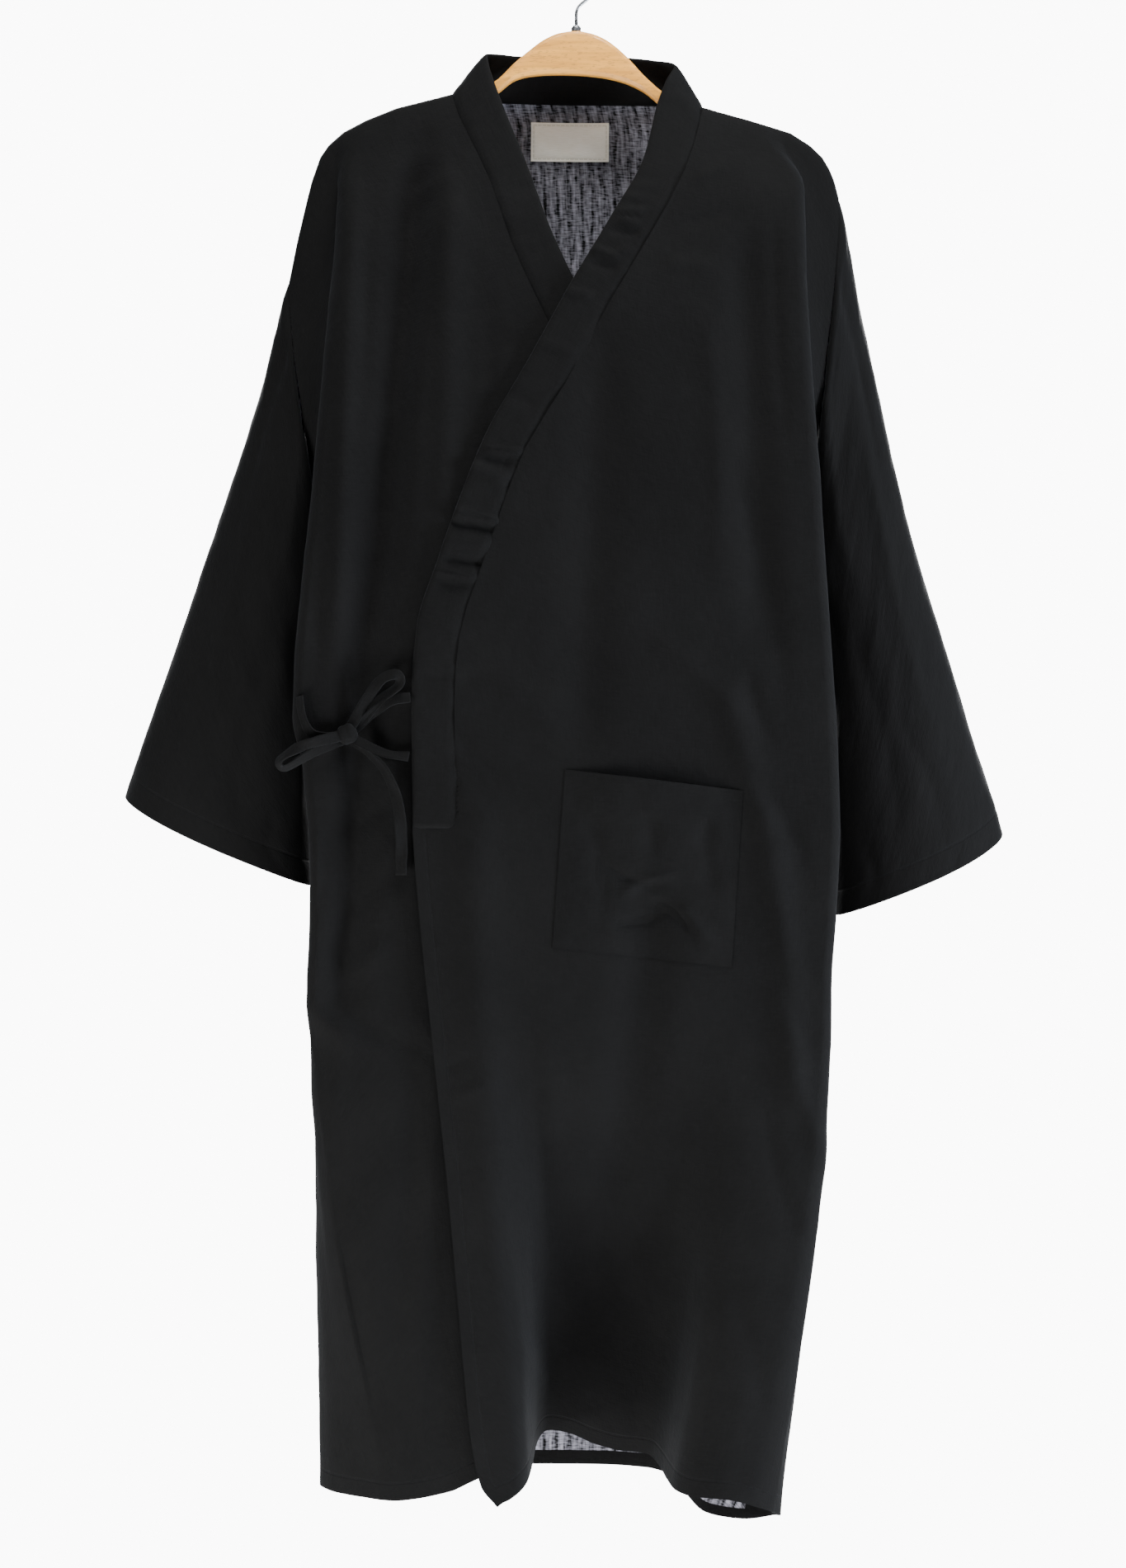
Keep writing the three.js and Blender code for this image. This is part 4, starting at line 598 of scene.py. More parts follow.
def under_point(u, down):
    """Outer face of the under front, whose hidden part follows the over front near the hem."""
    upper = points(*front_upper("under", u, down), down)
    t = np.clip((down - HEM_ZONE) / (UNDER_HEM_DOWN - HEM_ZONE), 0, 1)
    begin = smooth((down - HEM_ZONE) / 60)
    hidden = behind_over((1 - np.minimum(u, HIDDEN) / HIDDEN) * mix(*HIDDEN_REACH, t), down)
    hidden = upper + (hidden - upper) * begin[..., None]
    share = np.clip((u - HIDDEN) / (1 - HIDDEN), 0, 1)
    k = hem_share(down, UNDER_HEM_DOWN)

    def at(f, x, y):
        hem_x, hem_y = read(UNDER_HEM, "share", f, "x"), read(UNDER_HEM, "share", f, "y")
        return points(mix(x, hem_x, k), mix(y, hem_y, k), down)

    shown = at(share, upper[..., 0], upper[..., 1])
    start = at(0 * share, *front_upper("under", HIDDEN + 0 * u, down))
    anchor = behind_over(0 * u, down) - start
    shown = shown + anchor * (begin * (1 - smooth(share * 1.6)))[..., None]
    low = np.where((u < HIDDEN)[..., None], hidden, shown)
    return np.where((down <= HEM_ZONE)[..., None], upper, low)


def under_hem_down(u):
    """Lower edge of the under front, with its hidden part."""
    hidden = read(UNDER_HIDDEN_HEM, "share", u, "down")
    return np.where(
        u < HIDDEN, hidden, read(UNDER_HEM, "share", (u - HIDDEN) / (1 - HIDDEN), "down")
    )


def back_ridge(share):
    """Top edge of the back: the shoulder line, and the neck seam between."""
    a = np.abs(share)
    u = np.clip((a - NECK_SHARE) / (1 - NECK_SHARE), 0, 1)
    left, right = ridge_point("left", u), ridge_point("right", u)
    x = np.where(share < 0, -left[0], right[0])
    down = np.where(share < 0, left[1], right[1])
    foot_x = np.where(share < 0, -RIDGE["left"]["x"][0], RIDGE["right"]["x"][0])
    foot_down = np.where(share < 0, RIDGE["left"]["down"][0], RIDGE["right"]["down"][0])
    neck_down = mix(BACK_NECK_DOWN, foot_down, (a / NECK_SHARE) ** 2)
    neck = a < NECK_SHARE
    return np.where(neck, foot_x * a / NECK_SHARE, x), np.where(neck, neck_down, down)


def back_seam_deep(side, down):
    """Depth of the armhole seam on the back, which closes to the side seam at the underarm."""
    t = np.clip((UNDERARM[side] - down) / 60, 0, 1)
    return mix(read(SIDE[side], "down", down, "deep"), 26, smooth(t))


def back_side(side, share, down):
    """Outer face of the back above the hem folds, with one side's sizes."""
    s, a = sign(side), np.abs(share)
    ridge_x, ridge_down = back_ridge(share)
    drop = np.maximum(0, down - ridge_down)
    main_drop = np.maximum(0.01, down - back_ridge(np.array(s * BACK_SIDE))[1])
    depth = lambda d: read(DEPTH, "drop", d, "back")
    row = lambda column: read(SIDE[side], "down", down, column)
    corner = row("back")
    x1 = s * (corner - BACK_ROUND) * a / BACK_SIDE
    neck = NECK_DEEP * np.sqrt(np.maximum(0, 1 - (ridge_x / NECK_HALF) ** 2))
    y1 = depth(drop) + neck * np.exp(-drop / 110)
    y1 = y1 - folds(BACK_FOLDS, x1, down) * smooth(drop / BACK_EASE)
    full = depth(main_drop)
    size = np.minimum(1, full / FULL_DEPTH)
    part = np.clip(depth(drop) / depth(main_drop), 0, 1)
    q = np.clip((a - BACK_SIDE) / (BACK_CORNER - BACK_SIDE), 0, 1)
    x2 = s * (corner - BACK_ROUND + BACK_ROUND * np.sin(q * math.pi / 2))
    y2 = full - BACK_ROUND * size * (1 - np.cos(q * math.pi / 2))
    y2 = (y2 - folds(BACK_FOLDS, x2, down) * smooth(main_drop / BACK_EASE) * (1 - q)) * part
    r = np.clip((a - BACK_CORNER) / (1 - BACK_CORNER), 0, 1)
    x3 = s * mix(corner, row("seam"), r)
    y3 = mix(full - BACK_ROUND * size, back_seam_deep(side, down) * size, r) * part
    x = np.where(a <= BACK_SIDE, x1, np.where(a <= BACK_CORNER, x2, x3))
    y = np.where(a <= BACK_SIDE, y1, np.where(a <= BACK_CORNER, y2, y3))
    return mix(ridge_x, x, smooth(drop / RIDGE_EASE)), y


def back_point(share, down):
    """Outer face of the back panel: share runs from the left seam (-1) to the right one (1)."""
    left, right = back_side("left", share, down), back_side("right", share, down)
    x, y = (np.where(share < 0, a, b) for a, b in zip(left, right))
    hem = lambda column: read(BACK_HEM, "share", share, column)
    k = hem_share(down, hem("down"))
    return points(mix(x, hem("x"), k), mix(y, hem("y"), k), down)


def unit(v):
    """Vectors of length 1."""
    return v / np.maximum(np.linalg.norm(v, axis=-1, keepdims=True), 1e-9)


def grid_normals(grid, around=False):
    """Normal at each point of a grid, towards its outer side."""
    if around:
        across = np.roll(grid, -1, 0) - np.roll(grid, 1, 0)
    else:
        across = np.gradient(grid, axis=0)
    return unit(np.cross(across, np.gradient(grid, axis=1)))


def run_along(grid, axis):
    """Length along the grid to each point."""
    steps = np.linalg.norm(np.diff(grid, axis=axis), axis=-1)
    zero = np.zeros_like(np.take(steps, [0], axis=axis))
    return np.concatenate([zero, np.cumsum(steps, axis=axis)], axis=axis)


def spread(*stretches):
    """Places from one stop to the next: (start, stop, count) for each stretch."""
    parts = [np.linspace(a, b, n, endpoint=False) for a, b, n in stretches]
    return np.concatenate(parts + [[stretches[-1][1]]])


# Drops of the first rows below the shoulder line, close together where the cloth turns over
FIRST_DROPS = (0, 0.4, 1, 1.8, 3, 4.5, 6.5, 9, 12, 16, 21, 27, 34, 42, 51)


def row_shares(length):
    """Shares of a panel's length where its rows lie."""
    first = np.array(FIRST_DROPS) / length
    count = int(length * (1 - first[-1]) / ROW_STEP)
    return np.concatenate([first, np.linspace(first[-1], 1, count + 1)[1:]])


def panel_grid(point, columns, shares, top, bottom):
    """Grid of a panel's outer points, columns across and rows down."""
    u = np.repeat(columns[:, None], len(shares), 1)
    down = mix(top(u), bottom(u), shares[None, :])
    return point(u, down), u, down


# Materials


def linear(code):
    """Linear colour from an sRGB hex value."""
    channels = [int(code[i : i + 2], 16) / 255 for i in (1, 3, 5)]
    turned = [c / 12.92 if c <= 0.04045 else ((c + 0.055) / 1.055) ** 2.4 for c in channels]
    return (*turned, 1.0)


MATH = "ShaderNodeMath"
MAPPING = "ShaderNodeMapping"
NOISE = "ShaderNodeTexNoise"
RANGE = "ShaderNodeMapRange"
MIX = "ShaderNodeMix"
UV = "ShaderNodeUVMap"


def new_node(tree, kind, inputs=None, output=0, **settings):
    """Adds a node, sets its fields, fills its inputs with values or other nodes' outputs, and
    gives the output asked for."""
    made = tree.nodes.new(kind)
    for field, value in settings.items():
        setattr(made, field, value)
    for name, value in (inputs or {}).items():
        socket = made.inputs[name]
        if isinstance(value, bpy.types.NodeSocket):
            tree.links.new(value, socket)
        else:
            socket.default_value = value
    return made.outputs[output]


def new_material(name, **fixed):
    """A material with its shader's constant values set on the shader itself."""
    material = bpy.data.materials.new(name)
    material.use_nodes = True
    tree = material.node_tree
    shader = tree.nodes["Principled BSDF"]
    for socket, value in fixed.items():
        shader.inputs[socket.replace("_", " ")].default_value = value
    return material, tree, shader


def finish_material(tree, shader, colour, height, strength, distance):
    """Links the colour, and the height as a bump of a real depth, to the shader."""
    bump = {"Strength": strength, "Distance": distance, "Height": height}
    tree.links.new(colour, shader.inputs["Base Color"])
    tree.links.new(new_node(tree, "ShaderNodeBump", bump), shader.inputs["Normal"])


def stitches(tree, stitch_at):
    """Height and share of a row of stitches beside an edge, from the map of distances to it."""
    edge = new_node(tree, UV, uv_map="edge")
    run = new_node(tree, "ShaderNodeSeparateXYZ", {0: edge})
    gap = new_node(tree, "ShaderNodeSeparateXYZ", {0: edge}, output=1)
    off = new_node(tree, MATH, {0: gap, 1: stitch_at}, operation="SUBTRACT")
    off = new_node(tree, MATH, {0: off}, operation="ABSOLUTE")
    sunk = {0: off, 1: 0.4 * MM, 2: 1.6 * MM, 3: -1.0, 4: 0.0}
    groove = new_node(tree, RANGE, sunk, interpolation_type="SMOOTHSTEP")
    line = new_node(tree, MATH, {0: off, 1: 0.5 * MM}, operation="LESS_THAN")
    part = new_node(tree, MATH, {0: run, 1: STITCH_STEP * MM}, operation="DIVIDE")
    part = new_node(tree, MATH, {0: part}, operation="FRACT")
    part = new_node(tree, MATH, {0: part, 1: STITCH / STITCH_STEP}, operation="LESS_THAN")
    dash = new_node(tree, MATH, {0: line, 1: part}, operation="MULTIPLY")
    return new_node(tree, MATH, {0: dash, 1: groove}, operation="ADD"), dash


def gauze(name, dark, light, stitch_at=None, stripes=None):
    """Black cotton double gauze: two thin open layers, tacked together, so the face is matt and
    finely crinkled, with slubs along the weft and a faint fuzz that catches light at the edges."""
    material, tree, shader = new_material(
        name,
        Roughness=0.85,
        Sheen_Weight=0.05,
        Sheen_Roughness=0.5,
        Sheen_Tint=linear("#8e939b"),
        Specular_IOR_Level=0.1,
    )
    place = new_node(tree, UV, uv_map="cloth")
    # Threads lie 0.5 mm apart, and are drawn 1.4 mm apart so that they show at this distance
    thread = 1 / (1.4 * MM)
    stretch = new_node(tree, MAPPING, {0: place, 3: (thread * 0.12, thread, thread)})
    weft = new_node(tree, NOISE, {0: stretch, "Scale": 1.0, "Detail": 2.0})
    stretch = new_node(tree, MAPPING, {0: place, 3: (thread, thread * 0.1, thread)})
    warp = new_node(tree, NOISE, {0: stretch, "Scale": 1.0, "Detail": 2.0})
    # The crinkle of the tacked layers is 5 to 9 mm wide
    crinkle = new_node(tree, NOISE, {0: place, "Scale": 1 / (7 * MM), "Detail": 3.0, "Roughness": 0.6})
    # Patches of a hand's width take the dye a little differently
    patch = new_node(tree, NOISE, {0: place, "Scale": 1 / (90 * MM), "Detail": 3.0})
    weave = new_node(tree, MATH, {0: weft, 1: warp}, operation="ADD")
    tone = new_node(tree, MATH, {0: weave, 1: 0.6, 2: patch}, operation="MULTIPLY_ADD")
    tone = new_node(tree, MATH, {0: tone, 1: 0.6}, operation="SUBTRACT")
    colour = new_node(tree, MIX, {0: tone, 6: dark, 7: light}, output=2, data_type="RGBA")
    if stripes:
        colour = stripe_colour(tree, place, dark, stripes)
    crinkle = new_node(tree, MATH, {0: crinkle, 1: 1.3}, operation="MULTIPLY")
    height = new_node(tree, MATH, {0: weave, 1: 0.5, 2: crinkle}, operation="MULTIPLY_ADD")
    if stitch_at:
        sewn, dash = stitches(tree, stitch_at)
        height = new_node(tree, MATH, {0: height, 1: sewn}, operation="ADD")
        share = new_node(tree, MATH, {0: dash, 1: 0.2}, operation="MULTIPLY")
        thread_colour = {0: share, 6: colour, 7: linear("#0e0e10")}
        colour = new_node(tree, MIX, thread_colour, output=2, data_type="RGBA")
    finish_material(tree, shader, colour, height, 0.7, 0.5 * MM)
    return material


def stripe_colour(tree, place, ground, stripe):
    """Faint broken stripes down the inside: the pale threads of the inner layer, speckled."""
    # Stripes are 10 mm apart, bent and broken, and the speckle of the threads is 1.3 mm wide
    bent = new_node(tree, NOISE, {0: place, "Scale": 1 / (24 * MM), "Detail": 3.0})
    across = new_node(tree, "ShaderNodeSeparateXYZ", {0: place})
    bent = new_node(tree, MATH, {0: bent, 1: 9.0}, operation="MULTIPLY")
    turns = {0: across, 1: 2 * math.pi / (10 * MM), 2: bent}
    turns = new_node(tree, MATH, turns, operation="MULTIPLY_ADD")
    wave = new_node(tree, MATH, {0: turns}, operation="SINE")
    mapped = new_node(tree, MAPPING, {0: place, 3: (1 / (2.2 * MM), 1 / (16 * MM), 1 / (3 * MM))})
    stroke = new_node(tree, NOISE, {0: mapped, "Scale": 1.0, "Detail": 3.0})
    mapped = new_node(tree, MAPPING, {0: place, 3: (1 / (6 * MM), 1 / (1.3 * MM), 1 / (3 * MM))})
    cross = new_node(tree, NOISE, {0: mapped, "Scale": 1.0, "Detail": 2.0})
    level = new_node(tree, MATH, {0: wave, 1: 0.1, 2: stroke}, operation="MULTIPLY_ADD")
    level = new_node(tree, MATH, {0: cross, 1: 0.9, 2: level}, operation="MULTIPLY_ADD")
    share = new_node(tree, RANGE, {0: level, 1: 0.7, 2: 1.3, 3: 0.0, 4: 1.0})
    return new_node(tree, MIX, {0: share, 6: ground, 7: stripe}, output=2, data_type="RGBA")


def label_cotton(colour):
    """Woven cream label: a smooth cotton taffeta with fine crosswise threads, sewn round."""
    material, tree, shader = new_material(
        "label_cotton", Roughness=0.8, Sheen_Weight=0.15, Sheen_Roughness=0.5
    )
    place = new_node(tree, UV, uv_map="cloth")
    # Ribs of the taffeta, 0.8 mm apart
    mapped = new_node(tree, MAPPING, {0: place, 3: (1 / (6 * MM), 1 / (0.8 * MM), 1 / (6 * MM))})
    rib = new_node(tree, NOISE, {0: mapped, "Scale": 1.0, "Detail": 2.0})
    stain = new_node(tree, NOISE, {0: place, "Scale": 1 / (20 * MM), "Detail": 2.0})
    tone = new_node(tree, MATH, {0: stain, 1: 0.5, 2: rib}, operation="MULTIPLY_ADD")
    cream = {0: tone, 6: linear("#e9e2cc"), 7: colour}
    cream = new_node(tree, MIX, cream, output=2, data_type="RGBA")
    sewn, dash = stitches(tree, 2.2 * MM)
    dash = new_node(tree, MATH, {0: dash, 1: 0.5}, operation="MULTIPLY")
    thread = {0: dash, 6: cream, 7: linear("#cfc7b1")}
    cream = new_node(tree, MIX, thread, output=2, data_type="RGBA")
    height = new_node(tree, MATH, {0: rib, 1: sewn}, operation="ADD")
    finish_material(tree, shader, cream, height, 0.5, 0.3 * MM)
    return material


def lacquered_beech(colour):
    """Beech, shaped, sanded and lacquered: pale, with long grain along the arms and short dark
    flecks, under a clear coat that softens the light."""
    material, tree, shader = new_material(
        "lacquered_beech", Roughness=0.45, Coat_Weight=0.3, Coat_Roughness=0.25
    )
    place = new_node(tree, "ShaderNodeTexCoord", output="Object")
    # Growth rings show as bands 4 mm high that run the length of the hanger
    mapped = new_node(tree, MAPPING, {0: place, 3: (1 / (70 * MM), 1 / (8 * MM), 1 / (5 * MM))})
    ring = {0: mapped, "Scale": 1.0, "Detail": 5.0, "Roughness": 0.62, "Distortion": 0.4}
    grain = new_node(tree, NOISE, ring)
    # Rays of beech are flecks 4 mm long and under 1 mm high
    mapped = new_node(tree, MAPPING, {0: place, 3: (1 / (4 * MM), 1 / (2 * MM), 1 / (0.9 * MM))})
    fleck = new_node(tree, NOISE, {0: mapped, "Scale": 1.0, "Detail": 1.0})
    dark = new_node(tree, RANGE, {0: fleck, 1: 0.6, 2: 0.7, 3: 0.0, 4: 0.5})
    share = new_node(tree, RANGE, {0: grain, 1: 0.3, 2: 0.72, 3: 0.0, 4: 1.0})
    wood = {0: share, 6: linear("#c28232"), 7: colour}
    wood = new_node(tree, MIX, wood, output=2, data_type="RGBA")
    wood = new_node(tree, MIX, {0: dark, 6: wood, 7: linear("#8f6434")}, output=2, data_type="RGBA")
    finish_material(tree, shader, wood, grain, 0.25, 0.2 * MM)
    return material


def plated_steel(colour):
    """Steel wire, drawn and nickel plated: bright, with faint lengthwise drawing marks."""
    material, tree, shader = new_material("plated_steel", Metallic=1.0)
    place = new_node(tree, "ShaderNodeTexCoord", output="Object")
    marks = new_node(tree, NOISE, {0: place, "Scale": 1 / (2.5 * MM), "Detail": 3.0})
    rough = new_node(tree, RANGE, {0: marks, 1: 0.3, 2: 0.7, 3: 0.2, 4: 0.36})
    steel = {0: marks, 6: linear("#8d9094"), 7: colour}
    steel = new_node(tree, MIX, steel, output=2, data_type="RGBA")
    tree.links.new(rough, shader.inputs["Roughness"])
    finish_material(tree, shader, steel, marks, 0.1, 0.05 * MM)
    return material


# Meshes


def deselect():
    bpy.ops.object.select_all(action="DESELECT")


def add_object(name, data):
    """Puts new data into the scene."""
    obj = bpy.data.objects.new(name, data)
    bpy.context.scene.collection.objects.link(obj)
    return obj


def mesh_object(name, verts, faces, materials, **maps):
    """A smooth mesh, with a map for each name, from values at its points in millimetres."""
    mesh = bpy.data.meshes.new(name)
    mesh.from_pydata((verts * MM).tolist(), [], faces)
    for material in materials:
        mesh.materials.append(material)
    mesh.polygons.foreach_set("use_smooth", np.ones(len(faces), bool))
    loops = np.empty(len(mesh.loops), int)
    mesh.loops.foreach_get("vertex_index", loops)
    for title, values in maps.items():
        values = (values.reshape(-1, 2) * MM)[loops].astype(np.float32)
        mesh.uv_layers.new(name=title).data.foreach_set("uv", values.reshape(-1))
    mesh.update()
    return add_object(name, mesh)


def cloth_object(name, outer, inner, around, materials, inside, cloth_map, edge_map):
    """A closed thin wall between two grids. inside says which inner faces take the second
    material, and the two maps give the place on the cloth and beside its nearest edge."""
    m, n = outer.shape[:2]
    count = m * n
    verts = np.concatenate([outer.reshape(-1, 3), inner.reshape(-1, 3)])
    ids = np.arange(count).reshape(m, n)
    if around:
        ids = np.vstack([ids, ids[:1]])
        inside = np.vstack([inside, inside[:1]])
    quads = lambda *corners: np.stack(corners, -1).reshape(-1, 4)
    a, b, c, d = ids[:-1, :-1], ids[1:, :-1], ids[1:, 1:], ids[:-1, 1:]
    # Each border runs so that the rim's faces look out
    borders = [ids[::-1, 0], ids[:, -1]] + ([] if around else [ids[0], ids[-1, ::-1]])
    rims = [quads(line[:-1], line[1:], line[1:] + count, line[:-1] + count) for line in borders]
    outer_faces, inner_faces = quads(a, b, c, d), quads(a, d, c, b) + count
    faces = np.concatenate([outer_faces, inner_faces] + rims)
    twice = [np.concatenate([values.reshape(-1, 2)] * 2) for values in (cloth_map, edge_map)]
    obj = mesh_object(name, verts, faces.tolist(), materials, cloth=twice[0], edge=twice[1])
    mesh = obj.data
    slots = np.zeros(len(faces), int)
    face_inside = inside[:-1, :-1] & inside[1:, 1:]
    slots[len(outer_faces) : len(outer_faces) + len(inner_faces)] = face_inside.reshape(-1)
    mesh.polygons.foreach_set("material_index", slots)
    # The rim keeps its own shading, so that the two faces meet their neighbours smoothly
    rim = np.zeros(2 * count, bool)
    for line in borders:
        rim[line] = rim[line + count] = True
    ends = np.empty(2 * len(mesh.edges), int)
    mesh.edges.foreach_get("vertices", ends)
    ends = ends.reshape(-1, 2)
    sharp = rim[ends[:, 0]] & rim[ends[:, 1]] & ((ends[:, 0] < count) == (ends[:, 1] < count))
    mesh.attributes.new("sharp_edge", "BOOLEAN", "EDGE").data.foreach_set("value", sharp)
    mesh.update()
    return obj


def closed_tube(name, rings, material, cloth_map):
    """A closed solid through rings of points, with a cap at each end."""
    m, n = rings.shape[:2]
    ids = np.arange(m * n).reshape(m, n)
    after = np.roll(ids, -1, 1)
    faces = np.stack([ids[:-1], after[:-1], after[1:], ids[1:]], -1).reshape(-1, 4).tolist()
    faces += [ids[0][::-1].tolist(), ids[-1].tolist()]
    return mesh_object(
        name, rings.reshape(-1, 3), faces, [material], cloth=cloth_map, edge=cloth_map
    )


def declare(obj, slot, *nodes):
    """The piece rides on the part's only body and stands for its nodes."""
    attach(obj, "root")
    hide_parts(*nodes)


def patch_object(name, grid, thick, material, beside, near):
    """A patch of one material behind its outer grid, mapped by its place on the part."""
    place = np.stack([grid[..., 0], -grid[..., 2]], -1)
    return cloth_object(
        name,
        grid,
        surface(grid, grid_normals(grid), thick),
        False,
        [material] * 2,
        np.ones(thick.shape, bool),
        place,
        np.stack([beside, near], -1),
    )


def panel_object(name, grid, normals, wall, hem, edges, down, materials):
    """A body panel: its wall is thicker where the hem is turned up inside."""
    to_hem = run_along(grid[:, ::-1], 1)[:, ::-1]
    thick = wall + 0.6 * (1 - smooth((to_hem - hem) / 1.5))
    across = run_along(grid, 0)
    return cloth_object(
        name,
        grid,
        surface(grid, normals, thick),
        False,
        materials,
        (to_hem >= hem) & (edges > hem),
        np.stack([across, run_along(grid, 1)], -1),
        np.stack([np.where(to_hem <= edges, across, down), np.minimum(to_hem, edges)], -1),
    )


def edge_normals(grid, u, down, side, ridge_share):
    """Normals of a panel: upright along the shoulder, and square to the side seam at its end."""
    normals = grid_normals(grid)
    top = normals[:, 0].copy()
    top[:, 1] = 0
    top[:, 2] = np.abs(top[:, 2]) + 0.3
    on_ridge = np.abs(u[:, 0]) >= ridge_share
    normals[on_ridge, 0] = unit(top[on_ridge])
    for place, s in side:
        seam = (u == place) & (down > UNDERARM["left" if s < 0 else "right"])
        normals[seam] = (s, 0, 0)
    return normals


def strap_object(name, *straps):
    """Several folded straps and rings joined in one mesh."""
    material = cloth_materials()["black_gauze_band"]
    made = [closed_tube(name, rings, material, uv) for rings, uv in straps]
    deselect()
    for obj in made:
        obj.select_set(True)
    bpy.context.view_layer.objects.active = made[0]
    if len(made) > 1:
        bpy.ops.object.join()
    made[0].name = name
    make_faces_out(made[0])
    return made[0]


def face_out():
    """Turns all faces of the mesh in edit mode out, and leaves edit mode."""
    bpy.ops.mesh.select_all(action="SELECT")
    bpy.ops.mesh.normals_make_consistent(inside=False)
    bpy.ops.object.mode_set(mode="OBJECT")


def make_faces_out(obj):
    deselect()
    obj.select_set(True)
    bpy.context.view_layer.objects.active = obj
    bpy.ops.object.mode_set(mode="EDIT")
    face_out()


def face_depth(kind, x, down):
    """Depth of a front's outer face at any place, also just past its inner edge."""
    side = "right" if kind == "over" else "left"
    start = inner_edge(kind, down)
    stop = sign(side) * (read(SIDE[side], "down", down, "edge") - EDGE_ROUND)
    u = np.clip((x - start) / (stop - start), 0, 1) * ZONE_EDGE
    drop = np.maximum(0, down - ridge_point(side, u)[1])
    lift = (LAP if kind == "over" else 0) * smooth(drop / LAP_EASE)
    fold = folds(FRONT_FOLDS, x, down) * smooth(drop / FRONT_EASE)
    return -read(DEPTH, "drop", drop, "front") - lift + fold


def power(v, e):
    """A power that keeps the sign."""
    return np.sign(v) * np.abs(v) ** e


def smooth_path(rows, per_span=14):
    """Points along a smooth curve through the rows."""
    y = face_depth("under", rows["x"], rows["down"]) - rows["off"]
    p = np.stack([rows["x"], y, -rows["down"]], -1)
    padded = np.vstack([2 * p[0] - p[1], p, 2 * p[-1] - p[-2]])
    t = np.linspace(0, 1, per_span, endpoint=False)[:, None]
    spans = []
    for a, b, c, d in zip(padded, padded[1:], padded[2:], padded[3:]):
        spans.append(
            0.5 * (2 * b + (c - a) * t + (2 * a - 5 * b + 4 * c - d) * t**2)
            + 0.5 * (3 * b - a - 3 * c + d) * t**3
        )
    return np.vstack(spans + [p[-1:]])


def strap_rings(rows, width=TIE_WIDTH, cup=0.0):
    """Rings of a folded strap along its rows, a little thinner in the middle than at its folds."""
    path = smooth_path(rows)
    t = unit(np.gradient(path, axis=0))
    across = unit(np.cross(np.array([0.0, -1.0, 0.0]), t))
    out = np.cross(t, across)
    run = run_along(path[None], 1)[0]
    roll = (STRAP_ROLL * crumple(run + across[0, 0] * 90, 0 * run, 26, 9))[:, None]
    c, s = np.cos(roll), np.sin(roll)
    across, out = across * c + out * s, out * c - across * s
    angle = np.linspace(0, 2 * math.pi, 28, endpoint=False)
    w = width / 2 * power(np.cos(angle), 0.7)
    h = TIE_THICK / 2 * power(np.sin(angle), 0.45) * (0.6 + 0.4 * np.abs(np.cos(angle)))
    wobble = crumple(run, 0 * run, 11, 5)[:, None]
    narrow = 1 - 0.1 * np.abs(crumple(run, 0 * run, 17, 6))[:, None]
    h = h[None] + cup * (w[None] / width * 2) ** 2 + 0.35 * wobble * (w[None] / width)
    w = w[None] * narrow
    rings = path[:, None] + across[:, None] * w[..., None] + out[:, None] * h[..., None]
    uv = np.stack(np.broadcast_arrays(w, run[:, None]), -1)
    return rings, uv


def knot_rings():
    """The knot's wrap: a strap round the crossing, pulled tight in the middle."""
    centre_y = float(face_depth("under", np.array(KNOT["x"]), np.array(KNOT["down"]))) - KNOT["off"]
    centre = np.array([KNOT["x"], centre_y, -KNOT["down"]])
    turn = np.linspace(0, math.pi, 40)
    angle = np.linspace(0, 2 * math.pi, 36, endpoint=False)
    profile = np.sin(turn) ** 0.75
    waist = 1 - 0.10 * np.exp(-((np.cos(turn) / 0.25) ** 2))
    x = -KNOT["wide"] * power(np.cos(turn), 1.0)[:, None] + 0 * angle[None]
    ring = (profile * waist)[:, None]
    crease = 1 - 0.07 * np.exp(-((((angle[None] - 3.9) + 0.5 * np.cos(turn)[:, None]) / 0.22) ** 2))
    y = KNOT["deep"] * ring * power(np.cos(angle), 0.85)[None] * crease
    z = KNOT["high"] * ring * power(np.sin(angle), 0.85)[None] * crease
    c, s = math.cos(KNOT["tilt"]), math.sin(KNOT["tilt"])
    local = np.stack([x * c - z * s, y, x * s + z * c], -1)
    uv = np.stack(np.broadcast_arrays(angle[None] * 8, turn[:, None] * 8), -1)
    return centre + local, uv


# Sizes and colours that a user would change


def length_property(name, description, size):
    return bpy.props.FloatProperty(
        name=name, description=description, default=size, unit="LENGTH", subtype="DISTANCE"
    )


class RobeSizes(bpy.types.PropertyGroup):
    cloth_wall: length_property("Cloth wall", "Thickness of the double gauze", 1.4 * MM)
    hem_turn: length_property("Hem turn", "Height of the turned and stitched hem", 14 * MM)
    cuff_turn: length_property("Cuff turn", "Width of the turned and stitched cuff", 20 * MM)
    wire_radius: length_property("Wire radius", "Radius of the hook's wire", 1.4 * MM)
    creasing: bpy.props.FloatProperty(
        name="Creasing",
        description="How deep the creases are, as a share of those in the photograph",
        default=1.0,
        min=0.0,
        max=1.5,
        subtype="FACTOR",
    )


def colour_property(name, description, code):
    return bpy.props.FloatVectorProperty(
        name=name,
        description=description,
        subtype="COLOR",
        size=4,
        min=0,
        max=1,
        default=linear(code),
    )


class RobeColours(bpy.types.PropertyGroup):
    cloth_dark: colour_property("Cloth, dark", "Darker tone of the black gauze", "#020202")
    cloth_light: colour_property("Cloth, light", "Lighter tone of the black gauze", "#0b0b0b")
    stripe: colour_property("Stripe", "Grey of the broken stripes inside", "#9c9ba6")
    label: colour_property("Label", "Cream of the neck label", "#fffaf0")
    wood: colour_property("Wood", "Pale tone of the beech", "#f2ae48")
    steel: colour_property("Steel", "Light tone of the hook", "#c9ccd0")


def sizes():
    return bpy.context.scene.robe_sizes


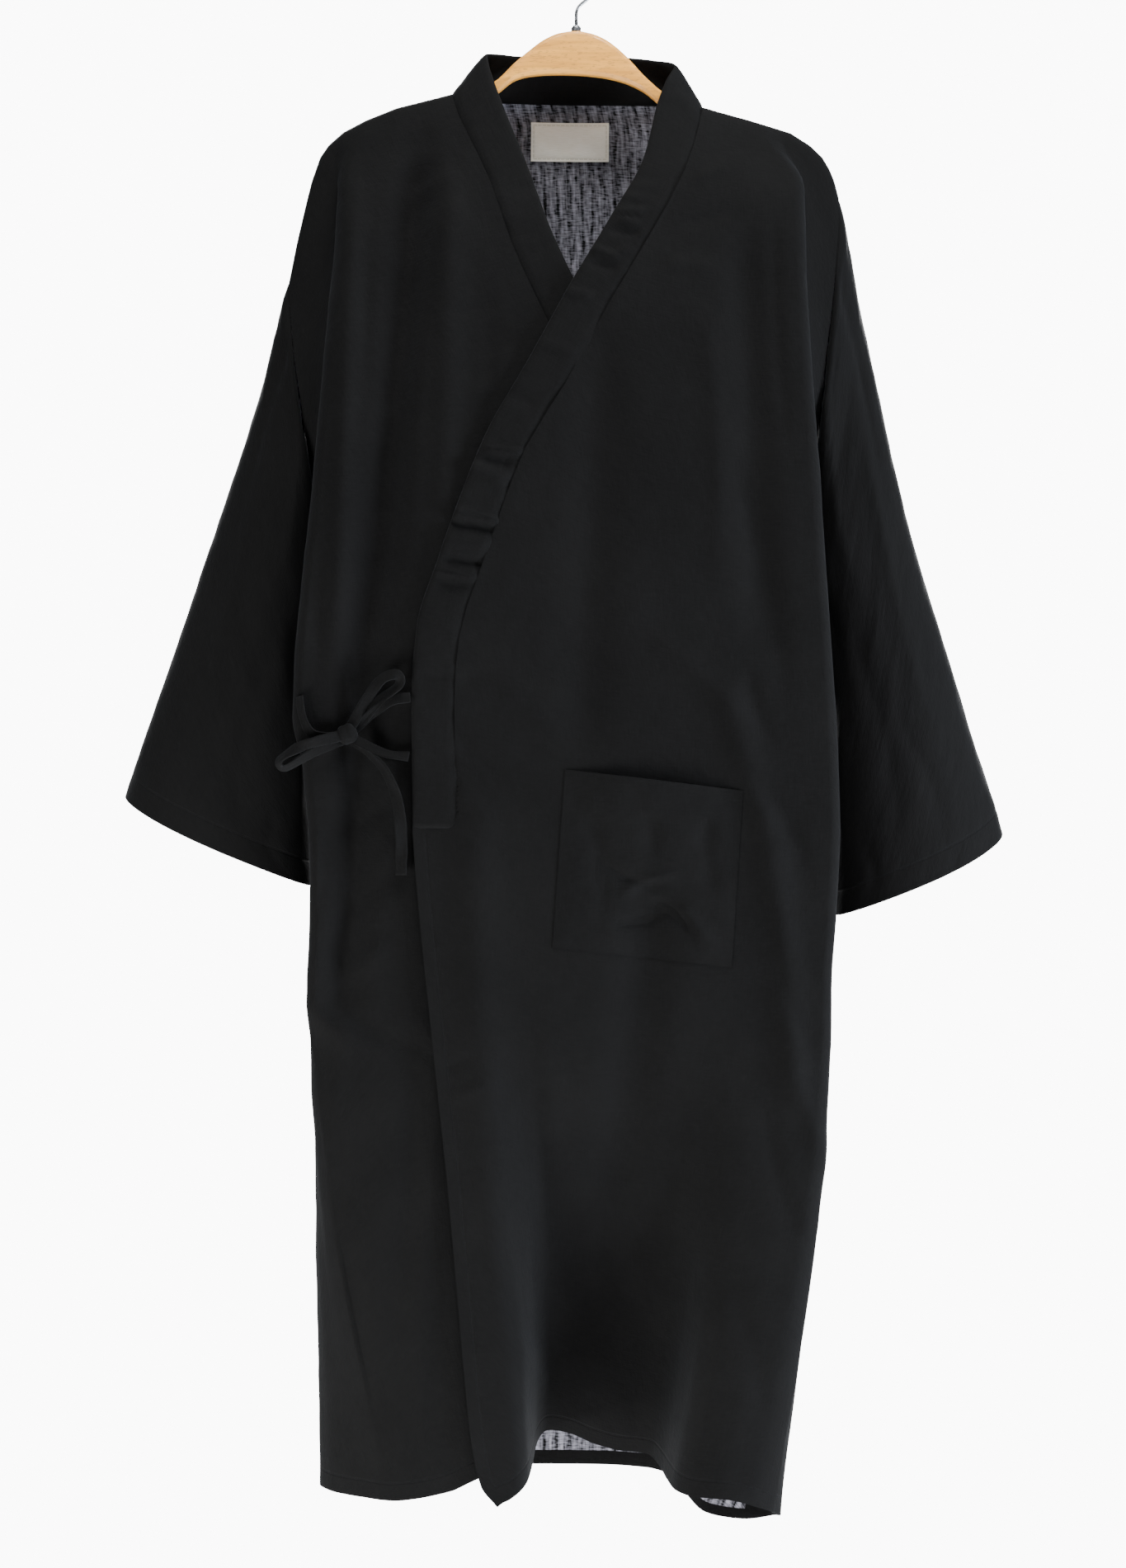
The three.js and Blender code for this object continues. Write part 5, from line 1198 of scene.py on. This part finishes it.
def colours():
    return bpy.context.scene.robe_colours


def cloth_materials():
    """The gauze of the panels with hem stitches, of the inside with stripes, of the sleeves with
    cuff stitches, and of the band, the pocket and the ties with none."""
    if "black_gauze" not in bpy.data.materials:
        s, c = sizes(), colours()
        dark, light, stripe = tuple(c.cloth_dark), tuple(c.cloth_light), tuple(c.stripe)
        gauze("black_gauze", dark, light, stitch_at=s.hem_turn)
        gauze("striped_gauze_inside", dark, light, stripes=stripe)
        gauze("black_gauze_cuff", dark, light, stitch_at=s.cuff_turn)
        gauze("black_gauze_band", dark, light)
    return bpy.data.materials


def surface(grid, normals, depth):
    """Moves the grid's points in along their normals by a depth."""
    return grid - normals * depth[..., None]


def over_relief(x, down):
    """Depth of the over front's creases and crumples."""
    return (creases(OVER_CREASES, x, down) + crumples("over", x, down)) * sizes().creasing


def free_edge(across, down):
    """Distance to a front's free edge, which begins below the end of the collar band."""
    return np.where(down > COLLAR_END + BAND_EASE, across + EDGE_GAP, FAR)


class ROBE_OT_panels(bpy.types.Operator):
    """Make the back and the two fronts"""

    bl_idname = "robe.panels"
    bl_label = "Body panels"

    def execute(self, context):
        self.over()
        self.under()
        self.back()
        return {"FINISHED"}

    def panel(self, node, point, columns, length, top, bottom, ends, neck, hem, relief, edges):
        """Makes a panel from its outer points. top and bottom give its upper and lower edge, ends
        its side seams, neck the share where the shoulder begins, relief the depth of its
        creases, and edges the distance to its free edge."""
        grid, u, down = panel_grid(point, columns, row_shares(length), top, bottom)
        normals = edge_normals(grid, u, down, ends, neck)
        grid = surface(grid, normals, relief(u, grid[..., 0], down, down - top(u)))
        normals = edge_normals(grid, u, down, ends, neck)
        materials = cloth_materials()
        pair = [materials["black_gauze"], materials["striped_gauze_inside"]]
        wall = sizes().cloth_wall / MM
        obj = panel_object(
            f"{node}_cloth", grid, normals, wall, hem, edges(grid, down), down, pair
        )
        declare(obj, "black_cloth", node)
        return obj

    def over(self):
        def relief(u, x, down, drop):
            begin = smooth(drop / CREASE_EASE)
            shape = over_relief(x, down) * (u < ZONE_BACK) * begin * smooth(u / 0.02)
            return shape + under_band("over", x, down)

        obj = self.panel(
            "over_front",
            over_point,
            spread(
                (0, EDGE_SHARE, 6),
                (EDGE_SHARE, 0.2, 30),
                (0.2, ZONE_EDGE, 58),
                (ZONE_EDGE, ZONE_BACK, 16),
                (ZONE_BACK, 1, 24),
            )[::-1],
            PANEL_LENGTH["over"],
            lambda u: ridge_point("right", u)[1],
            lambda u: read(OVER_HEM, "share", u, "down"),
            [(1.0, 1)],
            0,
            sizes().hem_turn / MM,
            relief,
            lambda grid, down: free_edge(run_along(grid[::-1], 0)[::-1], down),
        )

    def under(self):
        def relief(u, x, down, drop):
            # The part that the over front hides is creased a fifth as deep
            seen = smooth((u - 0.05) / 0.1) * (down < 600) + (down >= 600) * smooth((u - 0.3) / 0.1)
            shape = creases(UNDER_CREASES, x, down) * (u < ZONE_BACK) * smooth(drop / CREASE_EASE)
            shape = shape + crumples("under", x, down)
            shape = shape * smooth(drop / 30) * np.clip(seen, 0.2, 1) * sizes().creasing
            return shape + under_band("under", x, down)

        obj = self.panel(
            "under_front",
            under_point,
            spread(
                (0, HIDDEN, 56),
                (HIDDEN, ZONE_EDGE, 14),
                (ZONE_EDGE, ZONE_BACK, 26),
                (ZONE_BACK, 1, 30),
            ),
            PANEL_LENGTH["under"],
            lambda u: ridge_point("left", u)[1],
            under_hem_down,
            [(1.0, -1)],
            0,
            sizes().hem_turn / MM,
            relief,
            lambda grid, down: free_edge(run_along(grid, 0), down),
        )

    def back(self):
        def relief(u, x, down, drop):
            shape = creases(BACK_CREASES, x, down) * (np.abs(u) < BACK_CORNER)
            shape = shape + crumples("back", x, down)
            sides = smooth((1 - np.abs(u)) / 0.08)
            return shape * smooth(drop / CREASE_EASE) * sides * sizes().creasing

        obj = self.panel(
            "back",
            back_point,
            spread(
                (-1, -BACK_CORNER, 10),
                (-BACK_CORNER, -BACK_SIDE, 12),
                (-BACK_SIDE, BACK_SIDE, 100),
                (BACK_SIDE, BACK_CORNER, 12),
                (BACK_CORNER, 1, 10),
            ),
            PANEL_LENGTH["back"],
            lambda share: back_ridge(share)[1],
            lambda share: read(BACK_HEM, "share", share, "down"),
            [(-1.0, -1), (1.0, 1)],
            NECK_SHARE,
            BACK_HEM_TURN,
            relief,
            lambda grid, down: np.full(down.shape, FAR),
        )


def armhole_line(side, front):
    """The edge of a body panel that the sleeve is sewn to, as places down it."""
    down = np.linspace(RIDGE[side]["down"][-1], UNDERARM[side] + 40, 240)
    if front:
        return down, (over_point if side == "right" else under_point)(np.ones_like(down), down)
    return down, back_point(np.full_like(down, sign(side)), down)


class ROBE_OT_sleeves(bpy.types.Operator):
    """Make the two sleeves, sewn to the armholes and turned up at the cuffs"""

    bl_idname = "robe.sleeves"
    bl_label = "Sleeves"

    def execute(self, context):
        for side in ("left", "right"):
            self.sleeve(side, sizes().cloth_wall / MM, sizes().cuff_turn / MM)
        return {"FINISHED"}

    def sleeve(self, side, wall, cuff):
        s = sign(side)
        turn = np.linspace(0, 2 * math.pi, 170, endpoint=False)
        if side == "left":
            turn = turn[::-1]
        along = spread((0, 0.06, 12), (0.06, 1, 130))
        turn, along = np.meshgrid(turn, along, indexing="ij")
        t, swell = (1 - np.cos(turn)) / 2, np.sin(turn)
        rows = SLEEVE[side]

        def section(v):
            row = lambda column: read(rows, "along", v, column)
            full = np.where(swell > 0, row("front"), row("back"))
            sag = CUFF_SAG[side] * v**3 * np.abs(swell) * (1.3 - 0.9 * t)
            return points(
                mix(row("out_x"), row("in_x"), t),
                row("mid") * smooth(v * 4) - swell * full,
                mix(row("out_down"), row("in_down"), t) + sag,
            )

        grid, start = section(along), section(0 * along)
        seam = np.empty_like(start)
        for front in (True, False):
            down, line = armhole_line(side, front)
            own = (swell >= 0) == front
            for axis in range(3):
                seam[..., axis][own] = np.interp(-start[..., 2], down, line[:, axis])[own]
        gap = np.array([s, 0, 0]) * (0.3 + 2.0 * t**2)[..., None]
        join = 1 - smooth(along / 0.3)
        grid = grid + (seam + gap - start) * join[..., None]
        normals = grid_normals(grid, True)
        half_turns = turn / math.pi
        shape = 0
        for f in rows_of(SLEEVE_CREASES):
            k = (along - f["along1"]) / (f["along2"] - f["along1"])
            off = half_turns - mix(f["turn1"], f["turn2"], k) - 0.03 * np.sin(5 * k + f["deep"])
            ends = smooth(k * 3.5 + 0.3) * smooth((1 - k) * 2.2 + 0.2)
            shape = shape + f["deep"] * ends * np.exp(-np.abs(off / f["half"]) ** 1.7)
        length = run_along(grid, 1)
        round_it = half_turns * HALF_ROUND
        shape = shape + crumples("sleeve", round_it, length)
        # The armhole seam is a shallow groove, and the cuff's stitching pulls it in a little
        shape = shape * smooth(along / 0.06) * sizes().creasing + 0.8 * (1 - smooth(along / 0.012))
        to_cuff = run_along(grid[:, ::-1], 1)[:, ::-1]
        shape = shape + 0.35 * np.exp(-(((to_cuff - cuff) / 1.8) ** 2))
        shape = shape - SLEEVE_WALL * smooth(along / 0.05)
        grid = surface(grid, normals, shape)
        normals = grid_normals(grid, True)
        thick = wall + 0.7 * (1 - smooth((to_cuff - cuff) / 1.5))
        materials = cloth_materials()
        obj = cloth_object(
            f"sleeve_{side}_cloth",
            grid,
            surface(grid, normals, thick),
            True,
            [materials["black_gauze_cuff"], materials["striped_gauze_inside"]],
            to_cuff > cuff,
            np.stack([round_it, length], -1),
            np.stack([round_it, to_cuff], -1),
        )
        declare(obj, "black_cloth", f"sleeve_{side}")


def collar_depth():
    """Depth of the collar's two edges at each of its rows."""
    count = len(COLLAR["place"])
    seam, edge = np.zeros(count), np.zeros(count)
    for i in range(count):
        kind = "over" if i < FOOT_OVER else "under"
        own = lambda x, down: float(face_depth(kind, np.array(x), np.array(down)))
        seam[i] = NECK_SEAM_DEPTH.get(i, own(COLLAR["seam_x"][i], COLLAR["seam_down"][i]))
        edge[i] = NECK_EDGE_DEPTH.get(i, own(COLLAR["edge_x"][i], COLLAR["edge_down"][i]))
    return seam, edge


class ROBE_OT_collar(bpy.types.Operator):
    """Make the folded collar band, with the wrinkles across it"""

    bl_idname = "robe.collar"
    bl_label = "Collar band"

    def execute(self, context):
        seam_y, edge_y = collar_depth()
        rows = dict(COLLAR, seam_y=seam_y, edge_y=edge_y)
        last = COLLAR["place"][-1]
        place = np.linspace(0, last, 620)[:, None]
        rim = np.array([0, 0.008, 0.025, 0.06, 0.11])
        sides = np.concatenate([rim, np.linspace(0.16, 0.84, 15), 1 - rim[::-1]])
        # The band's seam edge lies a little over the panels, and more so round the neck
        at_neck = smooth((place - FOOT_OVER + 1) / 1.5) * smooth((FOOT_UNDER + 1 - place) / 1.5)
        over = 0.045 + 0.08 * at_neck
        across = -over + (1 + over) * sides[None, :]
        row = lambda column: read(rows, "place", place, column)
        x = mix(row("seam_x"), row("edge_x"), across)
        down = mix(row("seam_down"), row("edge_down"), across)
        y = mix(row("seam_y"), row("edge_y"), across)
        grid = points(x, y, down)
        normals = grid_normals(grid)
        shape = 0
        for f in rows_of(BAND_WRINKLES):
            off = (down - f["down"] - f["slope"] * (0.5 - across)) / f["half"]
            window = smooth((across - f["start"]) / 0.3) * smooth((f["end"] - across) / 0.3)
            shape = shape + f["deep"] * window * np.exp(-np.abs(off) ** 1.6)
        shape = shape * (place < FOOT_OVER - 1)
        length = run_along(grid, 0)
        # Light crosswise wrinkles go on round the neck and down the under front
        ripple = crumple(length, across * 12, 9, 51) * crumple(length, 0 * across, 70, 52)
        shape = (1.6 * shape + 0.9 * ripple) * sizes().creasing
        # Towards its ends the band is pressed flat
        to_end = np.minimum(length, length[-1:] - length)
        flat = 0.3 + 0.7 * smooth(to_end / 16)
        centre = surface(grid, normals, shape * flat + BAND / 2)
        half = BAND / 2 * np.sqrt(1 - np.abs(2 * sides[None, :] - 1) ** 10) * flat
        # The seam edge is thin, so that the band runs on into the panels
        out = centre + normals * (half * 1.3 * mix(0.35, 1, smooth(sides / 0.22)))[..., None]
        back = centre - normals * half[..., None]
        rings = np.concatenate([out, back[:, -2:0:-1]], 1)
        width = np.concatenate([sides, sides[-2:0:-1]]) * 36
        uv = np.stack(np.broadcast_arrays(width[None], length[:, :1]), -1)
        obj = closed_tube("collar_band", rings, cloth_materials()["black_gauze_band"], uv)
        make_faces_out(obj)
        declare(obj, "black_cloth", "collar")
        return {"FINISHED"}


class ROBE_OT_pocket(bpy.types.Operator):
    """Make the patch pocket, whose mouth stands a little open"""

    bl_idname = "robe.pocket"
    bl_label = "Pocket"

    def execute(self, context):
        (x1, d1), (x2, d2), (x3, d3), (x4, d4) = POCKET_CORNERS
        count = 72
        a, b = np.meshgrid(np.linspace(1, 0, count), np.linspace(0, 1, count), indexing="ij")
        x = mix(mix(x1, x2, a), mix(x4, x3, a), b)
        down = mix(mix(d1, d2, a), mix(d4, d3, a), b)
        start = inner_edge("over", down)
        stop = read(SIDE["right"], "down", down, "edge") - EDGE_ROUND
        u = (x - start) / (stop - start) * ZONE_EDGE
        base = over_point(u, down)[..., 1] + over_relief(x, down)
        gape = POCKET_GAPE * np.sin(math.pi * a) ** 1.5 * (1 - b) ** 2.2
        inset = smooth(np.minimum(np.minimum(a, 1 - a), 1 - b) / 0.1)
        slack = creases(POCKET_CREASES, x, down) * 1.5 + 0.5 * crumple(x, down, 15, 61)
        y = base - POCKET_OFF - gape + (slack * sizes().creasing - 0.6) * inset
        grid = points(x, y, down)
        to_side = np.minimum(a, 1 - a) * math.hypot(x2 - x1, d2 - d1)
        to_base, to_mouth = (1 - b) * (d4 - d1), b * (d4 - d1)
        # The mouth is turned in twice, so it is thicker there, and stitched
        thick = 0.5 + 0.6 * inset + 0.5 * (1 - smooth((to_mouth - MOUTH_STITCH) / 1.5))
        to_stitch = np.abs(to_mouth - MOUTH_STITCH + MOUTH_GAP)
        near = np.minimum(np.minimum(to_side, to_base), to_stitch)
        beside = np.where(to_side < to_base, down, x)
        gauze_band = cloth_materials()["black_gauze_band"]
        obj = patch_object("pocket_patch", grid, thick, gauze_band, beside, near)
        declare(obj, "black_cloth", "pocket")
        return {"FINISHED"}


class ROBE_OT_neck_label(bpy.types.Operator):
    """Make the bare label sewn inside the back neck"""

    bl_idname = "robe.neck_label"
    bl_label = "Neck label"

    def execute(self, context):
        a, b = np.meshgrid(np.linspace(0, 1, 80), np.linspace(0, 1, 44), indexing="ij")
        dx, dz = LABEL["width"] * (a - 0.5), LABEL["height"] * (b - 0.5)
        x = LABEL["x"] + dx - dz * LABEL["tilt"]
        down = LABEL["down"] + dz + dx * LABEL["tilt"]
        corner = read(SIDE["right"], "down", down, "back")
        share = x / (corner - BACK_ROUND) * BACK_SIDE
        base = back_point(share, down)[..., 1] - sizes().cloth_wall / MM - LABEL["off"]
        to_side = np.minimum(a, 1 - a) * LABEL["width"]
        to_end = np.minimum(b, 1 - b) * LABEL["height"]
        puff = smooth(np.minimum(to_side, to_end) / 7)
        y = base - 0.5 * puff - 0.35 * puff * crumple(x, down, 12, 71)
        material = label_cotton(tuple(colours().label))
        beside, near = np.where(to_side < to_end, down, x), np.minimum(to_side, to_end)
        thick = np.full(a.shape, LABEL["wall"])
        obj = patch_object("label_patch", points(x, y, down), thick, material, beside, near)
        declare(obj, "label", "neck_label")
        return {"FINISHED"}


class ROBE_OT_ties(bpy.types.Operator):
    """Make the two ties and the bow that joins them"""

    bl_idname = "robe.ties"
    bl_label = "Ties and bow"

    def execute(self, context):
        side_tie = strap_object("side_tie_strap", strap_rings(SIDE_TIE))
        declare(side_tie, "black_cloth", "tie_side")
        front_tie = strap_object("front_tie_strap", strap_rings(FRONT_TIE))
        declare(front_tie, "black_cloth", "tie_front")
        bow = strap_object(
            "bow_straps",
            knot_rings(),
            strap_rings(BOW_UPPER_LOOP, cup=-0.5),
            strap_rings(BOW_LEFT_LOOP, cup=-0.5),
            strap_rings(BOW_LOW_STRAP, 8),
            strap_rings(BOW_TAIL, 10, cup=0.4),
        )
        declare(bow, "black_cloth", "bow")
        return {"FINISHED"}


def start_disc(name, vertices, radius, place, rotation=(0, 0, 0)):
    """A disc to draw a piece out of, left in edit mode, with its object at the origin."""
    deselect()
    bpy.ops.mesh.primitive_circle_add(
        vertices=vertices, radius=radius, fill_type="NGON", location=place, rotation=rotation
    )
    obj = bpy.context.object
    obj.name = name
    bpy.ops.object.transform_apply(location=True, rotation=True, scale=True)
    bpy.ops.object.mode_set(mode="EDIT")
    bpy.ops.mesh.select_all(action="SELECT")
    return obj


def extrude(step):
    """Draws the selected face out by a step."""
    bpy.ops.mesh.extrude_region_move(TRANSFORM_OT_translate={"value": step})


def finish_hard(obj, angle, material, slot, node):
    """Smooth shading up to an angle in degrees, its material and its place in the part."""
    bpy.ops.object.shade_smooth_by_angle(angle=math.radians(angle))
    obj.data.materials.append(material)
    declare(obj, slot, node)


class ROBE_OT_hanger(bpy.types.Operator):
    """Make the shaped wooden hanger and its wire hook"""

    bl_idname = "robe.hanger"
    bl_label = "Hanger"

    def execute(self, context):
        self.wood()
        self.hook()
        return {"FINISHED"}

    def wood(self):
        """A round end is drawn out along the arms, section by section."""
        x = spread((-180, -176, 4), (-176, 166, 90), (166, 170, 4))
        row = lambda column: read(WOOD, "x", x, column) * MM
        top, base, half = row("top"), row("base"), row("half")
        middle, high = -(top + base) / 2, (base - top) / 2
        centre = (x[0] * MM, 0, middle[0])
        obj = start_disc("hanger_beech", 40, 1, centre, (0, -math.pi / 2, 0))
        bpy.ops.transform.resize(value=(1, half[0], high[0]), center_override=centre)
        for i in range(1, len(x)):
            extrude(((x[i] - x[i - 1]) * MM, 0, middle[i] - middle[i - 1]))
            grow = (1, half[i] / half[i - 1], high[i] / high[i - 1])
            centre = (x[i] * MM, 0, middle[i])
            bpy.ops.transform.resize(value=grow, center_override=centre)
        face_out()
        self.board_sections(obj, x * MM, middle, high, half)
        finish_hard(obj, 30, lacquered_beech(tuple(colours().wood)), "beech", "hanger_wood")

    def board_sections(self, obj, x, middle, high, half):
        """Turns the round sections into those of a board with chamfered edges."""
        p = np.empty(3 * len(obj.data.vertices))
        obj.data.vertices.foreach_get("co", p)
        p = p.reshape(-1, 3)
        mid, up, out = (np.interp(p[:, 0], x, values) for values in (middle, high, half))
        a, b = (p[:, 2] - mid) / up, p[:, 1] / out
        tall, deep = (np.abs(v) ** WOOD_SQUARE for v in (a, b))
        # A corner that goes past the chamfer's line is drawn back on to it
        cut = np.minimum(WOOD_CHAMFER * MM, np.minimum(up, out) * 0.6)
        past = (tall * up - (up - cut)) + (deep * out - (out - cut)) - cut
        past = np.maximum(0, past) / 2
        p[:, 2] = mid + np.sign(a) * (tall * up - past)
        p[:, 1] = np.sign(b) * (deep * out - past)
        obj.data.vertices.foreach_set("co", p.reshape(-1))
        obj.data.update()

    def hook(self):
        """A wire bent from the ferrule up into the hook, its cut end rounded."""
        wire, lean = sizes().wire_radius, HOOK["lean"]
        start = (HOOK["x"] * MM, 0, HOOK["foot"] * MM)
        obj = start_disc("hanger_hook_wire", 20, wire, start)
        bend = lambda angle, centre, steps: bpy.ops.mesh.spin(
            steps=steps, angle=angle, center=centre, axis=(0, 1, 0), dupli=False
        )
        extrude((0, 0, HOOK["rise"] * MM))
        bend_foot = (HOOK["foot"] + HOOK["rise"]) * MM
        bend(-lean, (start[0] + HOOK["bend"] * MM, 0, bend_foot), 12)
        straight = HOOK["straight"] * MM
        extrude((straight * math.sin(lean), 0, straight * math.cos(lean)))
        bend(HOOK["turn"], (0, 0, HOOK["centre"] * MM), 72)
        for shrink in TIP_SHRINK:
            extrude((TIP_STEP[0] * MM, 0, TIP_STEP[1] * MM))
            bpy.ops.transform.resize(value=(shrink, shrink, shrink))
        bpy.ops.mesh.select_all(action="SELECT")
        bpy.ops.mesh.remove_doubles(threshold=0.01 * MM)
        bpy.ops.mesh.normals_make_consistent(inside=False)
        bpy.ops.mesh.select_all(action="DESELECT")
        self.ferrule(start[0])
        finish_hard(obj, 35, plated_steel(tuple(colours().steel)), "steel", "hanger_hook")

    def ferrule(self, x):
        """A turned collar, stepped and chamfered, where the wire goes into the wood."""
        z = FERRULE_FOOT * MM
        bpy.ops.mesh.primitive_circle_add(
            vertices=40, radius=FERRULE_RADIUS * MM, fill_type="NGON", location=(x, 0, z)
        )
        for rise, grow in FERRULE_STEPS:
            extrude((0, 0, rise * MM))
            z += rise * MM
            bpy.ops.transform.resize(value=(grow, grow, 1), center_override=(x, 0, z))
        bpy.ops.mesh.select_linked()
        bpy.ops.mesh.normals_make_consistent(inside=False)
        bpy.ops.object.mode_set(mode="OBJECT")


class ROBE_OT_stage(bpy.types.Operator):
    """Make the pale floor, the white dome, the soft lights and the camera"""

    bl_idname = "robe.stage"
    bl_label = "Stage"

    def execute(self, context):
        self.backdrop()
        self.camera()
        self.lights()
        return {"FINISHED"}

    def backdrop(self):
        """A round pale floor below the robe, and a white dome round the whole studio."""
        deselect()
        bpy.ops.mesh.primitive_circle_add(
            vertices=96,
            radius=FLOOR_RADIUS,
            fill_type="NGON",
            location=(0, 0, CAD_BOX[0][2] - FLOOR_GAP),
        )
        floor = bpy.context.object
        floor.name = "floor"
        bpy.ops.object.transform_apply(location=True, rotation=True, scale=True)
        # Matt white paper
        paper, _, _ = new_material("white_paper", Base_Color=linear("#f4f4f3"), Roughness=0.95)
        floor.data.materials.append(paper)
        deselect()
        bpy.ops.mesh.primitive_uv_sphere_add(segments=48, ring_count=24, radius=DOME_RADIUS)
        dome = bpy.context.object
        dome.name = "white_dome"
        bpy.ops.object.shade_smooth()
        # White fabric lit from behind, bright enough to read as a pure white ground
        lit, _, _ = new_material(
            "lit_white_fabric",
            Base_Color=linear("#f4f4f3"),
            Roughness=0.95,
            Emission_Color=linear("#ffffff"),
            Emission_Strength=DOME_LIGHT,
        )
        dome.data.materials.append(lit)
        # It is there for the eye alone, and throws no light or shadow on the robe
        dome.visible_diffuse = dome.visible_glossy = dome.visible_shadow = False

    def camera(self):
        """At the photograph's viewing angle."""
        data = bpy.data.cameras.new("camera")
        data.sensor_width, data.lens = CAMERA["sensor"], CAMERA["lens"]
        data.clip_end = 50
        obj = add_object("camera", data)
        obj.location = CAMERA["place"]
        obj.rotation_euler = (math.pi / 2, 0, 0)
        bpy.context.scene.camera = obj

    def lights(self):
        """Soft lights round the front, the strongest on the right and above, and two behind."""
        target = Vector(LIGHT_TARGET)
        for name, place, size, power, tint in LIGHTS:
            data = bpy.data.lights.new(name, "AREA")
            data.size, data.energy, data.color = size, power, linear(tint)[:3]
            obj = add_object(name, data)
            obj.location = place
            obj.rotation_euler = (target - obj.location).to_track_quat("-Z", "Y").to_euler()
            obj.visible_camera = False
        world = bpy.data.worlds.new("studio")
        world.use_nodes = True
        background = world.node_tree.nodes["Background"].inputs
        background["Color"].default_value = linear("#ffffff")
        background["Strength"].default_value = WORLD_LIGHT
        bpy.context.scene.world = world


class ROBE_PT_panel(bpy.types.Panel):
    bl_idname = "ROBE_PT_panel"
    bl_label = "Wrap robe"
    bl_space_type = "VIEW_3D"
    bl_region_type = "UI"
    bl_category = "Robe"

    def draw(self, context):
        for group in (context.scene.robe_sizes, context.scene.robe_colours):
            for name in group.bl_rna.properties.keys():
                if name not in ("rna_type", "name"):
                    self.layout.prop(group, name)
        for operator in OPERATORS:
            self.layout.operator(operator.bl_idname)


OPERATORS = (
    ROBE_OT_stage,
    ROBE_OT_panels,
    ROBE_OT_sleeves,
    ROBE_OT_collar,
    ROBE_OT_pocket,
    ROBE_OT_neck_label,
    ROBE_OT_ties,
    ROBE_OT_hanger,
)
CLASSES = (RobeSizes, RobeColours, *OPERATORS, ROBE_PT_panel)


def register():
    for one in CLASSES:
        bpy.utils.register_class(one)
    bpy.types.Scene.robe_sizes = bpy.props.PointerProperty(type=RobeSizes)
    bpy.types.Scene.robe_colours = bpy.props.PointerProperty(type=RobeColours)


def unregister():
    del bpy.types.Scene.robe_sizes
    del bpy.types.Scene.robe_colours
    for one in reversed(CLASSES):
        bpy.utils.unregister_class(one)


def main():
    register()
    bpy.ops.robe.stage()
    bpy.ops.robe.panels()
    bpy.ops.robe.sleeves()
    bpy.ops.robe.collar()
    bpy.ops.robe.pocket()
    bpy.ops.robe.neck_label()
    bpy.ops.robe.ties()
    bpy.ops.robe.hanger()


if __name__ == "__main__":
    main()
